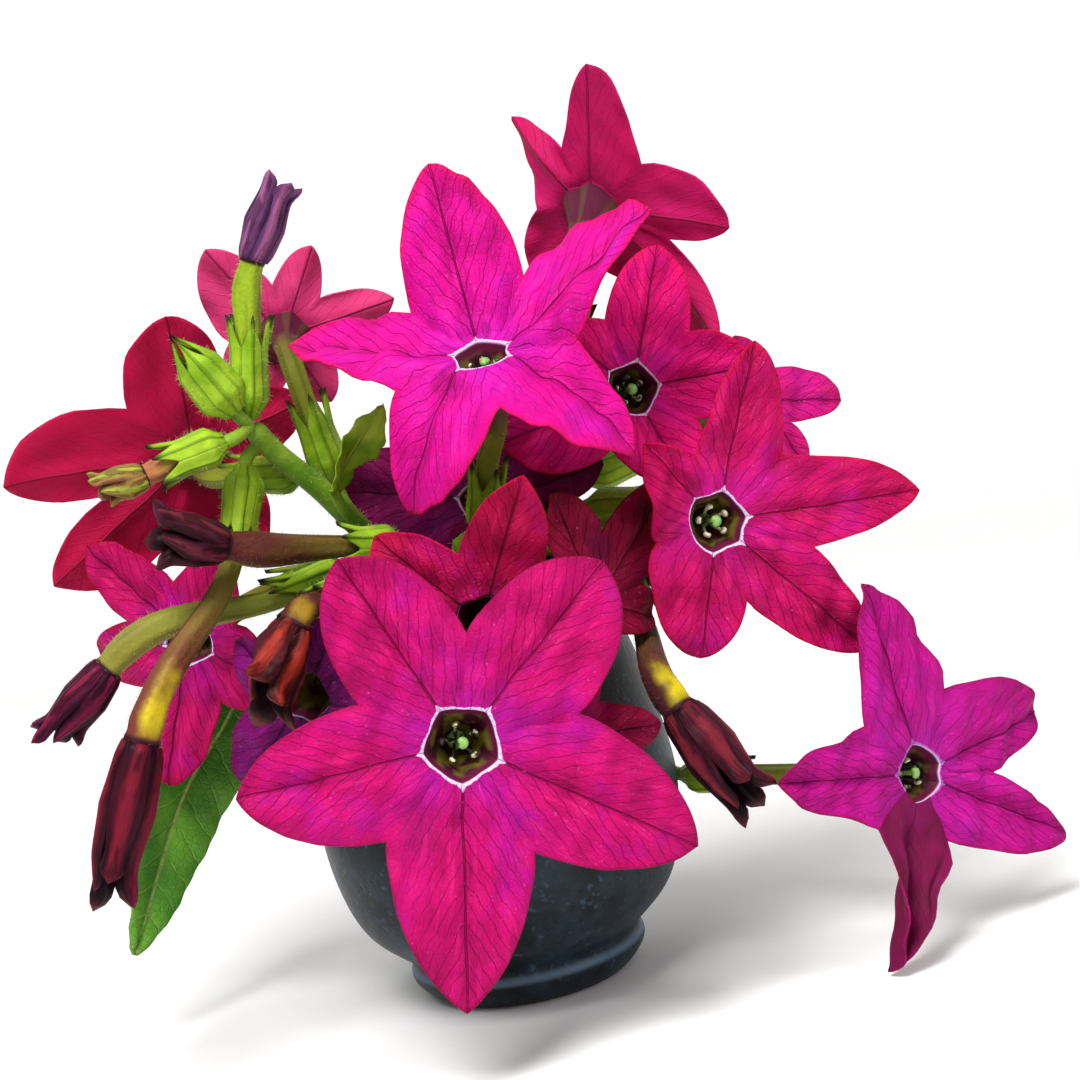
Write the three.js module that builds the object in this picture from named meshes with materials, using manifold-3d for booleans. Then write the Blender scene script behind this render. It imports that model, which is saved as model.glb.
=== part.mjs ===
// A potted flowering tobacco: a small glazed stoneware pot filled with compost, out of which short
// sprays spread with star-shaped crimson and magenta blooms, folded buds, calyces and a few leaves.
// Millimetres, +Z up. The origin is the centre of the pot's flat foot, and the blooms face -Y.
import * as THREE from 'three';
import { mergeVertices } from 'three/addons/utils/BufferGeometryUtils.js';
import Module from 'manifold-3d';

const wasm = await Module();
wasm.setup();

// Driving dimensions
const BELLY_RADIUS = 26;
const POT_HEIGHT = 60;
const FOOT_RADIUS = 17.2;
const MOUTH_RADIUS = 14;
const POT_WALL = 4;
const COMPOST_TOP = 52;
const STEM_HOLE_PLAY = 0.6;
const CLEARANCE = 0.3;
const PETAL_THICKNESS = 0.7;
const TUBE_RADIUS = 1.5;
const TUBE_END_RADIUS = 0.9;
const TUBE_FLARE = 4;
const THROAT_DEPTH = 6.5;
const THROAT_SHOULDER = 1;
const THROAT_NARROWING = 0.4;
const CALYX_LENGTH = 8.5;
const CALYX_RADIUS = 2.8;
const CALYX_WALL = 0.7;
const CALYX_FLOOR = 2;
const CALYX_BASE = 0.55;
const CALYX_MOUTH = 0.93;
const TOOTH_LENGTH = 4;
const TOOTH_FLARE = 0.6;
const STALK_RADIUS = 0.95;
const LEAF_THICKNESS = 0.8;
const LEAF_TIP_WIDTH = 0.9;
const ANTHER_RADIUS = 0.75;
const FILAMENT_RADIUS = 0.35;
const STYLE_RADIUS = 0.4;
const STIGMA_RADIUS = 0.85;

// Sampling
const POT_SIDES = 24;
const LOBES = 5;
const TUBE_SIDES = 2 * LOBES;
const STEM_SIDES = 5;
const STALK_SIDES = 4;
const TUBE_STEP = 6;
const FINE_STEPS = [0, 0.3, 0.65, 1];
const PLAIN_STEPS = [0, 0.4, 1];
const FUSE_TOLERANCE = 0.05;

const rad = THREE.MathUtils.degToRad;
const vec = (x, y, z) => new THREE.Vector3(x, y, z);
const smooth = (t) => THREE.MathUtils.smoothstep(t, 0, 1);

// A closed skin under construction: points, and faces that index them
class Skin {
  constructor() {
    this.points = [];
    this.faces = [];
  }

  point(p) {
    this.points.push(p.clone());
    return this.points.length - 1;
  }

  ring(points) {
    return points.map((p) => this.point(p));
  }

  // Joins two rings of equal length; the diagonal can lean either way
  band(a, b, lean = false) {
    a.forEach((_, i) => {
      const j = (i + 1) % a.length;
      if (lean) this.faces.push([a[i], a[j], b[i]], [a[j], b[j], b[i]]);
      else this.faces.push([a[i], a[j], b[j]], [a[i], b[j], b[i]]);
    });
  }

  // Joins a ring to one whose fewer points divide it evenly; `widening` is for the reverse order
  reduce(many, few, widening = false) {
    const share = many.length / few.length;
    const add = (a, b, c) => this.faces.push(widening ? [a, c, b] : [a, b, c]);
    few.forEach((f, k) => {
      const next = few[(k + 1) % few.length];
      const point = (i) => many[(k * share + i) % many.length];
      const middle = Math.ceil(share / 2);
      for (let i = 0; i < share; i += 1) add(point(i), point(i + 1), i < middle ? f : next);
      add(point(middle), next, f);
    });
  }

  cap(ring, tip) {
    ring.forEach((a, i) => this.faces.push([a, ring[(i + 1) % ring.length], tip]));
  }

  capBack(ring, tip) {
    ring.forEach((a, i) => this.faces.push([a, tip, ring[(i + 1) % ring.length]]));
  }

  volume() {
    let total = 0;
    for (const [a, b, c] of this.faces) {
      const cross = this.points[b].clone().cross(this.points[c]);
      total += this.points[a].dot(cross) / 6;
    }
    return total;
  }

  geometry() {
    const flip = this.volume() < 0;
    const index = this.faces.flatMap(([a, b, c]) => (flip ? [a, c, b] : [a, b, c]));
    const geometry = new THREE.BufferGeometry();
    geometry.setAttribute('position', new THREE.Float32BufferAttribute(
      this.points.flatMap((p) => p.toArray()), 3));
    geometry.setIndex(index);
    return geometry;
  }
}

// Joining of several closed skins into one body
function toManifold(geometry) {
  const plain = geometry.index ? geometry.clone() : geometry;
  plain.deleteAttribute('normal');
  plain.deleteAttribute('uv');
  const merged = mergeVertices(plain, 1e-4);
  return new wasm.Manifold(new wasm.Mesh({
    numProp: 3,
    vertProperties: new Float32Array(merged.attributes.position.array),
    triVerts: new Uint32Array(merged.index.array),
  }));
}

function fromManifold(solid) {
  const mesh = solid.getMesh();
  const geometry = new THREE.BufferGeometry();
  geometry.setAttribute('position', new THREE.BufferAttribute(mesh.vertProperties, 3));
  geometry.setIndex(new THREE.BufferAttribute(mesh.triVerts, 1));
  return geometry;
}

function fuse(skins) {
  const solids = skins.map((skin) => toManifold(skin.geometry()));
  const whole = solids.slice(1).reduce((sum, next) => sum.add(next), solids[0]);
  return fromManifold(whole.simplify(FUSE_TOLERANCE));
}

// Paths and the frames carried along them without twist
function pathFrames(points, side) {
  const frames = [];
  let axis = points[1].clone().sub(points[0]).normalize();
  let right = side.clone().addScaledVector(axis, -side.dot(axis)).normalize();
  points.forEach((point, i) => {
    const before = points[Math.max(i - 1, 0)];
    const after = points[Math.min(i + 1, points.length - 1)];
    const next = after.clone().sub(before).normalize();
    right.applyQuaternion(new THREE.Quaternion().setFromUnitVectors(axis, next));
    right.addScaledVector(next, -right.dot(next)).normalize();
    axis = next;
    frames.push({ point, axis, right: right.clone(), up: next.clone().cross(right) });
  });
  return frames;
}

// A point beside a path, at an angle round it
const around = (frame, angle, radius, rise = 0) => frame.point.clone()
  .addScaledVector(frame.right, radius * Math.cos(angle))
  .addScaledVector(frame.up, radius * Math.sin(angle))
  .addScaledVector(frame.axis, rise);

const anySide = (points) => {
  const axis = points[1].clone().sub(points[0]).normalize();
  return Math.abs(axis.x) < 0.8 ? vec(1, 0, 0) : vec(0, 1, 0);
};

const spline = (points, steps) => new THREE.CatmullRomCurve3(points, false, 'centripetal')
  .getSpacedPoints(steps);

// A round stem through the given points, thinner towards its end
function stem(points, startRadius, endRadius, sides = STEM_SIDES, steps = Math.round(1.5 * points.length)) {
  const skin = new Skin();
  const line = points.length > 2 ? spline(points, steps) : points;
  const rings = pathFrames(line, anySide(line)).map((frame, i) => {
    const radius = THREE.MathUtils.lerp(startRadius, endRadius, i / (line.length - 1));
    return skin.ring(Array.from({ length: sides }, (_, k) => (
      around(frame, (2 * Math.PI * k) / sides, radius))));
  });
  rings.slice(1).forEach((ring, i) => skin.band(rings[i], ring));
  skin.capBack(rings[0], skin.point(line[0]));
  skin.cap(rings.at(-1), skin.point(line.at(-1)));
  return skin;
}

// A five-toothed cup, open towards `toward`, in which a corolla's tube is seated
function calyx({
  seat, toward, length = CALYX_LENGTH, radius = CALYX_RADIUS, tooth = TOOTH_LENGTH, closed = false,
}) {
  const skin = new Skin();
  const axis = toward.clone().normalize();
  const frame = pathFrames([seat, seat.clone().add(axis)], anySide([seat, seat.clone().add(axis)]))[0];
  const ring = (r, z, reach = 0, flare = 0) => skin.ring(Array.from({ length: TUBE_SIDES }, (_, k) => {
    const isTooth = k % 2 === 0;
    return around(frame, (Math.PI * k) / LOBES, r + (isTooth ? flare : 0), z + (isTooth ? reach : 0));
  }));
  const rings = [
    ring(radius * CALYX_BASE, 0),
    ring(radius, length * 0.3),
    ring(radius * CALYX_MOUTH, length, tooth, TOOTH_FLARE),
  ];
  if (!closed) {
    rings.push(ring(radius * CALYX_MOUTH - CALYX_WALL, length + 0.1, tooth - 0.5, TOOTH_FLARE));
    rings.push(ring(radius * CALYX_MOUTH - CALYX_WALL, CALYX_FLOOR));
  }
  const end = closed ? length * 0.9 : CALYX_FLOOR;
  skin.capBack(rings[0], skin.point(seat));
  rings.slice(1).forEach((next, i) => skin.band(rings[i], next));
  skin.cap(rings.at(-1), skin.point(frame.point.clone().addScaledVector(frame.axis, end)));
  return skin;
}

// The path of a corolla's tube, in part coordinates, from behind the throat to its seat in the calyx
function tubePath(start, heading, { seat, toward, slack = 0.4, length = CALYX_LENGTH }) {
  const axis = toward.clone().normalize();
  const back = heading.clone().normalize();
  const mouth = seat.clone().addScaledVector(axis, length + 1);
  const base = seat.clone().addScaledVector(axis, CALYX_FLOOR + CLEARANCE);
  const reach = start.distanceTo(mouth) * slack;
  const bend = new THREE.CubicBezierCurve3(
    start, start.clone().addScaledVector(back, reach),
    mouth.clone().addScaledVector(axis, reach), mouth);
  const steps = Math.max(2, Math.round(bend.getLength() / TUBE_STEP));
  return [...bend.getSpacedPoints(steps), mouth.clone().lerp(base, 0.5), base];
}

// Where a bloom stands and which way it faces: yaw turns it from -Y towards +X, pitch lifts it
function facing({ at, yaw, pitch }) {
  const n = vec(
    Math.sin(rad(yaw)) * Math.cos(rad(pitch)),
    -Math.cos(rad(yaw)) * Math.cos(rad(pitch)),
    Math.sin(rad(pitch)));
  const up = vec(0, 0, 1).addScaledVector(n, -n.z).normalize();
  const right = up.clone().cross(n);
  return new THREE.Matrix4().makeBasis(right, up, n).setPosition(...at);
}

// One lobe's middle strip: how far out and how far forward a point at distance l lies
function strip(lobe, throat, l, w) {
  const run = l - throat;
  const rise = rad(lobe.rise);
  const curl = rad(lobe.bend) / (lobe.length - throat) || 1e-6;
  const angle = rise + curl * run;
  const out = throat + (Math.sin(angle) - Math.sin(rise)) / curl;
  const lift = (Math.cos(rise) - Math.cos(angle)) / curl;
  const far = THREE.MathUtils.clamp(run / (lobe.length - throat), 0, 1);
  const slim = w * (1 - lobe.slim * smooth(2 * far));
  const fold = lobe.fold * far * Math.abs(slim);
  const side = slim * Math.cos(lobe.fold * far) + lobe.sway * far * far;
  const along = rad(lobe.angle);
  return vec(
    (out - fold * Math.sin(angle)) * Math.cos(along) - side * Math.sin(along),
    (out - fold * Math.sin(angle)) * Math.sin(along) + side * Math.cos(along),
    lift + fold * Math.cos(angle));
}

// The limb's middle surface as rows of points round the throat, in the bloom's own frame
function limb({ throat, lobes, perLobe }) {
  const half = perLobe / 2;
  const notch = lobes.map((lobe, k) => {
    const next = lobes[(k + 1) % LOBES];
    const turn = (next.angle - lobe.angle + 360) % 360;
    const radius = (lobe.notch * (lobe.length + next.length)) / 2;
    return { angle: lobe.angle + turn / 2, half: turn / 2, radius };
  });
  const columns = [];
  lobes.forEach((lobe, k) => {
    for (let i = -half; i < half; i += 1) {
      const s = i / half;
      const right = s < 0;
      const gap = right ? notch[(k + LOBES - 1) % LOBES] : notch[k];
      const neighbour = right ? lobes[(k + LOBES - 1) % LOBES] : lobes[(k + 1) % LOBES];
      columns.push({ lobe, neighbour, gap, s, angle: lobe.angle + s * gap.half });
    }
  });
  const steps = perLobe > 4 ? FINE_STEPS : PLAIN_STEPS;
  return steps.map((u) => columns.map(({ lobe, neighbour, gap, s, angle }) => {
    const reach = gap.radius + (lobe.length - gap.radius)
      * ((1 - lobe.point) * (1 - Math.abs(s) ** lobe.blunt) + lobe.point * (1 - Math.abs(s)) ** 3);
    const r = throat + (reach - throat) * u;
    const place = (one) => {
      const off = rad(angle - one.angle);
      return strip(one, throat, r * Math.cos(off), r * Math.sin(off));
    };
    const share = 0.5 * Math.abs(s) ** 4 * (1 - smooth((r / gap.radius - 1) / 0.6));
    const plain = vec(r * Math.cos(rad(angle)), r * Math.sin(rad(angle)), 0);
    const shaped = place(lobe).lerp(place(neighbour), share);
    return plain.lerp(shaped, smooth((r - throat) / 3));
  }));
}

// Vertex normals of a grid that closes round its columns
function gridNormals(rows) {
  return rows.map((row, i) => row.map((_, j) => {
    const across = row[(j + 1) % row.length].clone().sub(row[(j + row.length - 1) % row.length]);
    const out = rows[Math.min(i + 1, rows.length - 1)][j].clone().sub(rows[Math.max(i - 1, 0)][j]);
    return out.cross(across).normalize();
  }));
}

// One corolla: the limb with its two faces, the hollow throat, and the tube back to the calyx
function corolla(spec) {
  const skin = new Skin();
  const { throat, matrix } = spec;
  const toLocal = matrix.clone().invert();
  const rows = limb(spec);
  const normals = gridNormals(rows);
  const face = (side) => rows.map((row, i) => skin.ring(row.map((p, j) => (
    p.clone().addScaledVector(normals[i][j], (side * PETAL_THICKNESS) / 2)))));
  const front = face(1);
  const back = face(-1);
  for (let i = 1; i < rows.length; i += 1) {
    skin.band(front[i - 1], front[i]);
    skin.band(back[i], back[i - 1], true);
  }
  skin.band(front.at(-1), back.at(-1));

  const share = rows[0].length / TUBE_SIDES;
  const corner = Array.from({ length: TUBE_SIDES }, (_, k) => rows[0][k * share]);
  const shrink = (scale, depth) => corner.map((p) => vec(p.x * scale, p.y * scale, -depth));
  const pit = [
    skin.ring(shrink(THROAT_NARROWING, THROAT_DEPTH)),
    skin.ring(shrink(0.86, THROAT_SHOULDER)),
  ];
  skin.capBack(pit[0], skin.point(vec(0, 0, -THROAT_DEPTH - CLEARANCE)));
  skin.band(pit[0], pit[1]);
  skin.reduce(front[0], pit[1], true);

  const wall = PETAL_THICKNESS;
  const neck = (scale, depth) => corner.map((p) => {
    const r = Math.hypot(p.x, p.y);
    const outer = Math.max(r * scale + wall, TUBE_RADIUS);
    return vec((p.x / r) * outer, (p.y / r) * outer, -depth);
  });
  const tube = [
    skin.ring(neck(0.92, THROAT_SHOULDER + CLEARANCE)),
    skin.ring(neck(THROAT_NARROWING, THROAT_DEPTH)),
  ];
  const line = spec.path.map((p) => p.clone().applyMatrix4(toLocal));
  const angles = corner.map((p) => Math.atan2(p.y, p.x));
  const frames = pathFrames([vec(0, 0, -THROAT_DEPTH), ...line], vec(1, 0, 0)).slice(1);
  const wide = throat * THROAT_NARROWING + wall - TUBE_RADIUS;
  let run = 1;
  const slender = frames.map((frame, i) => {
    if (i > 0) run += frame.point.distanceTo(frames[i - 1].point);
    const last = i === frames.length - 1;
    const radius = last ? TUBE_END_RADIUS : TUBE_RADIUS + wide * Math.exp(-run / TUBE_FLARE);
    return skin.ring(angles.filter((_, k) => k % 2 === 0).map((a) => around(frame, -a, radius)));
  });
  skin.reduce(back[0], tube[0]);
  skin.band(tube[0], tube[1]);
  skin.reduce(tube[1], slender[0]);
  slender.slice(1).forEach((ring, i) => skin.band(slender[i], ring));
  skin.cap(slender.at(-1), skin.point(line.at(-1)));
  return skin;
}

// A folded flower: a slim tube, a constriction, and five petals still pleated round each other
function bud(spec) {
  const { neck, heading, tip, width, girth = TUBE_RADIUS, twist = 20 } = spec;
  const skin = new Skin();
  const line = tubePath(neck, heading.clone().negate(), spec).reverse();
  const frames = pathFrames(line, anySide(line));
  const slender = frames.map((frame, i) => {
    const far = smooth((i - 2) / (frames.length - 3));
    const radius = i === 0 ? TUBE_END_RADIUS : THREE.MathUtils.lerp(TUBE_RADIUS - 0.1, girth, far);
    return skin.ring(Array.from({ length: LOBES }, (_, k) => (
      around(frame, (2 * Math.PI * k) / LOBES, radius))));
  });
  const rings = [];
  const top = { ...frames.at(-1), axis: heading.clone().normalize() };
  const pleats = [
    { at: 0.14, ridge: 0.8, valley: 0.62 },
    { at: 0.45, ridge: 1, valley: 0.55 },
    { at: 0.75, ridge: 0.8, valley: 0.35 },
    { at: 1, ridge: 0.7, valley: 0.4, valleyAt: 0.82 },
  ];
  for (const pleat of pleats) {
    rings.push(skin.ring(Array.from({ length: TUBE_SIDES }, (_, k) => {
      const ridge = k % 2 === 0;
      const along = ridge ? pleat.at : pleat.valleyAt ?? pleat.at;
      const uneven = ridge && pleat.at === 1 ? 0.12 * tip * Math.sin(2.4 * k) : 0;
      return around(top, (Math.PI * k) / LOBES + rad(twist) * along,
        width * (ridge ? pleat.ridge : pleat.valley), along * tip + uneven);
    })));
  }
  slender.slice(1).forEach((ring, i) => skin.band(slender[i], ring));
  skin.reduce(rings[0], slender.at(-1), true);
  rings.slice(1).forEach((ring, i) => skin.band(rings[i], ring));
  skin.capBack(slender[0], skin.point(line[0]));
  skin.cap(rings.at(-1), skin.point(top.point.clone().addScaledVector(top.axis, 0.66 * tip)));
  return skin;
}

// A leaf blade with a sunk midrib and waved edges, along a path and facing `face`
function leaf({ points, width, face, bulge = 0.9, wave = 0.6, steps = 8 }) {
  const skin = new Skin();
  const line = spline(points, steps);
  const across = [-1, -0.5, 0, 0.5, 1];
  const rows = line.map((p, i) => {
    const t = i / steps;
    const ahead = line[Math.min(i + 1, steps)].clone().sub(line[Math.max(i - 1, 0)]).normalize();
    const side = ahead.clone().cross(face).normalize();
    const up = side.clone().cross(ahead);
    const spread = Math.max(Math.sin(Math.PI * t ** bulge), 0) ** 0.7;
    const half = Math.max(width * spread, LEAF_TIP_WIDTH) / 2;
    return across.map((a) => p.clone()
      .addScaledVector(side, a * half)
      .addScaledVector(up, Math.abs(a) * half * 0.3 + a * a * wave * Math.sin(9 * t + 2 * a)));
  });
  const sides = rows.map((row, i) => row.map((p, j) => {
    const ahead = rows[Math.min(i + 1, steps)][j].clone().sub(rows[Math.max(i - 1, 0)][j]);
    const aside = row[Math.min(j + 1, 4)].clone().sub(row[Math.max(j - 1, 0)]);
    return aside.cross(ahead).normalize().multiplyScalar(LEAF_THICKNESS / 2);
  }));
  const over = rows.map((row, i) => skin.ring(row.map((p, j) => p.clone().add(sides[i][j]))));
  const under = rows.map((row, i) => skin.ring(row.map((p, j) => p.clone().sub(sides[i][j]))));
  for (let i = 0; i < steps; i += 1) {
    for (let j = 0; j < 4; j += 1) {
      const q = (f) => [f[i][j], f[i][j + 1], f[i + 1][j + 1], f[i + 1][j]];
      const [a, b, c, d] = q(over);
      const [e, f, g, h] = q(under);
      skin.faces.push([a, b, c], [a, c, d], [e, g, f], [e, h, g]);
    }
  }
  const edge = (f) => [
    ...f[0], ...f.slice(1).map((row) => row[4]), ...f.at(-1).slice(0, 4).reverse(),
    ...f.slice(1, -1).map((row) => row[0]).reverse()];
  skin.band(edge(under), edge(over));
  return skin;
}

// Five stamens and a longer style with its stigma, standing on one small disc at the throat's floor
function stamens({ matrix, throat }) {
  const local = (x, y, z) => vec(x, y, z).applyMatrix4(matrix);
  const deep = -THROAT_DEPTH + CLEARANCE + 0.15;
  const disc = throat * THROAT_NARROWING - CLEARANCE - 0.25;
  const parts = [stem([local(0, 0, deep), local(0, 0, deep + 0.9)], disc, disc * 0.9, STEM_SIDES)];
  for (let k = 0; k < LOBES; k += 1) {
    const angle = rad(72 * k + 20);
    const reach = throat * 0.38;
    const height = -1.9 + 0.5 * (k % 2);
    const foot = local(Math.cos(angle) * disc * 0.5, Math.sin(angle) * disc * 0.5, deep + 0.4);
    const head = (lift, out) => local(Math.cos(angle) * out, Math.sin(angle) * out, height + lift);
    parts.push(stem([foot, head(0, reach)], FILAMENT_RADIUS, FILAMENT_RADIUS, 3));
    const anther = [head(-ANTHER_RADIUS, reach * 0.9), head(ANTHER_RADIUS, reach * 0.85)];
    parts.push(stem(anther, ANTHER_RADIUS, ANTHER_RADIUS * 0.75, 3));
  }
  parts.push(stem([local(0, 0, deep + 0.4), local(0.2, 0, -1)], STYLE_RADIUS, STYLE_RADIUS, 3));
  parts.push(stem([local(0.2, 0, -1.6), local(0.2, 0, -0.4)], 0.6, STIGMA_RADIUS, STEM_SIDES));
  return fuse(parts);
}

// The pot's outline, outside and inside, and the compost that fills it
function potProfile() {
  const outside = new THREE.SplineCurve([
    [FOOT_RADIUS - 0.5, 6], [BELLY_RADIUS - 3, 12.5], [BELLY_RADIUS, 26], [BELLY_RADIUS - 1.8, 40],
    [22.4, 48], [18.6, 55.5], [17.2, 58.5],
  ].map(([r, z]) => new THREE.Vector2(r, z))).getPoints(7);
  const rim = [[17.4, POT_HEIGHT - 0.6], [16.4, POT_HEIGHT], [MOUTH_RADIUS + 0.4, POT_HEIGHT - 0.4]];
  const foot = [[0, 0], [14, 0], [15.4, 1], [FOOT_RADIUS, 3.4], [FOOT_RADIUS, 4.8]];
  return [
    ...foot.map(([r, z]) => new THREE.Vector2(r, z)),
    ...outside,
    ...rim.map(([r, z]) => new THREE.Vector2(r, z)),
    ...potInside(0),
  ];
}

function potInside(clear) {
  return new THREE.SplineCurve([
    [MOUTH_RADIUS - 0.2, POT_HEIGHT - 4], [BELLY_RADIUS - POT_WALL - 3.6, 48], [BELLY_RADIUS - POT_WALL, 27],
    [BELLY_RADIUS - POT_WALL - 4, 12], [11, 6.6],
  ].map(([r, z]) => new THREE.Vector2(r - clear, z + (z < 10 ? clear : 0)))).getPoints(5)
    .concat(new THREE.Vector2(0, 6 + clear));
}

const lathe = (profile, sides) => new THREE.LatheGeometry(profile, sides).rotateX(Math.PI / 2);

// The pieces, placed

const arrangement = new THREE.Group();
const material = (color, roughness, metalness = 0) => (
  new THREE.MeshStandardMaterial({ color, roughness, metalness }));

function addMesh(name, geometry, look) {
  const mesh = new THREE.Mesh(geometry, look);
  mesh.name = name;
  arrangement.add(mesh);
  return mesh;
}

const PETAL_DEFAULTS = { blunt: 1.5, point: 0.12, fold: 0, sway: 0, notch: 0.5, slim: 0.1 };
const lobe = ([angle, length, rise, bend, more = {}]) => (
  { ...PETAL_DEFAULTS, angle, length, rise, bend, ...more });

// Each spray: the stem from the compost, then its flowers, with where their calyx sits and points to
const SPRAYS = {
  upper_left: {
    stem: [[-5, 3, 40], [-6, 3, 54], [-8, 1, 62], [-15, -5, 75.5], [-21, -9, 84], [-23, -11, 88]],
    radius: 1.9,
  },
  left: { stem: [[-9, -1, 40], [-9.5, -1, 54], [-11, -1.5, 62], [-13, -2, 65]], radius: 1.6 },
  front_left: { stem: [[-5, -8, 40], [-5.5, -8, 54], [-7, -11, 62], [-11, -17, 64]], radius: 1.5 },
  middle: { stem: [[0, -4.5, 40], [0, -4.5, 54], [1.5, -6, 62], [4.5, -7, 66.5]], radius: 1.5 },
  right: { stem: [[7, 0, 40], [7.5, 0.5, 54], [11, 2, 61], [17, 3, 68]], radius: 1.7 },
  front_right: { stem: [[7.5, -5, 40], [8, -6, 54], [10, -9.5, 63], [11.5, -15.5, 64]], radius: 1.4 },
  back: { stem: [[3, 8, 40], [3.5, 8.3, 51], [4.5, 8.5, 56]], radius: 1.4 },
  far_right: {
    stem: [[10, 5, 40], [10, 5.5, 54], [10, 7, 60], [13.5, 12.5, 64.5], [17, 17.5, 60], [19, 20, 48],
      [20.5, 21, 36], [22, 20, 27], [25, 14.5, 23]],
    radius: 1.3,
  },
};

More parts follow.
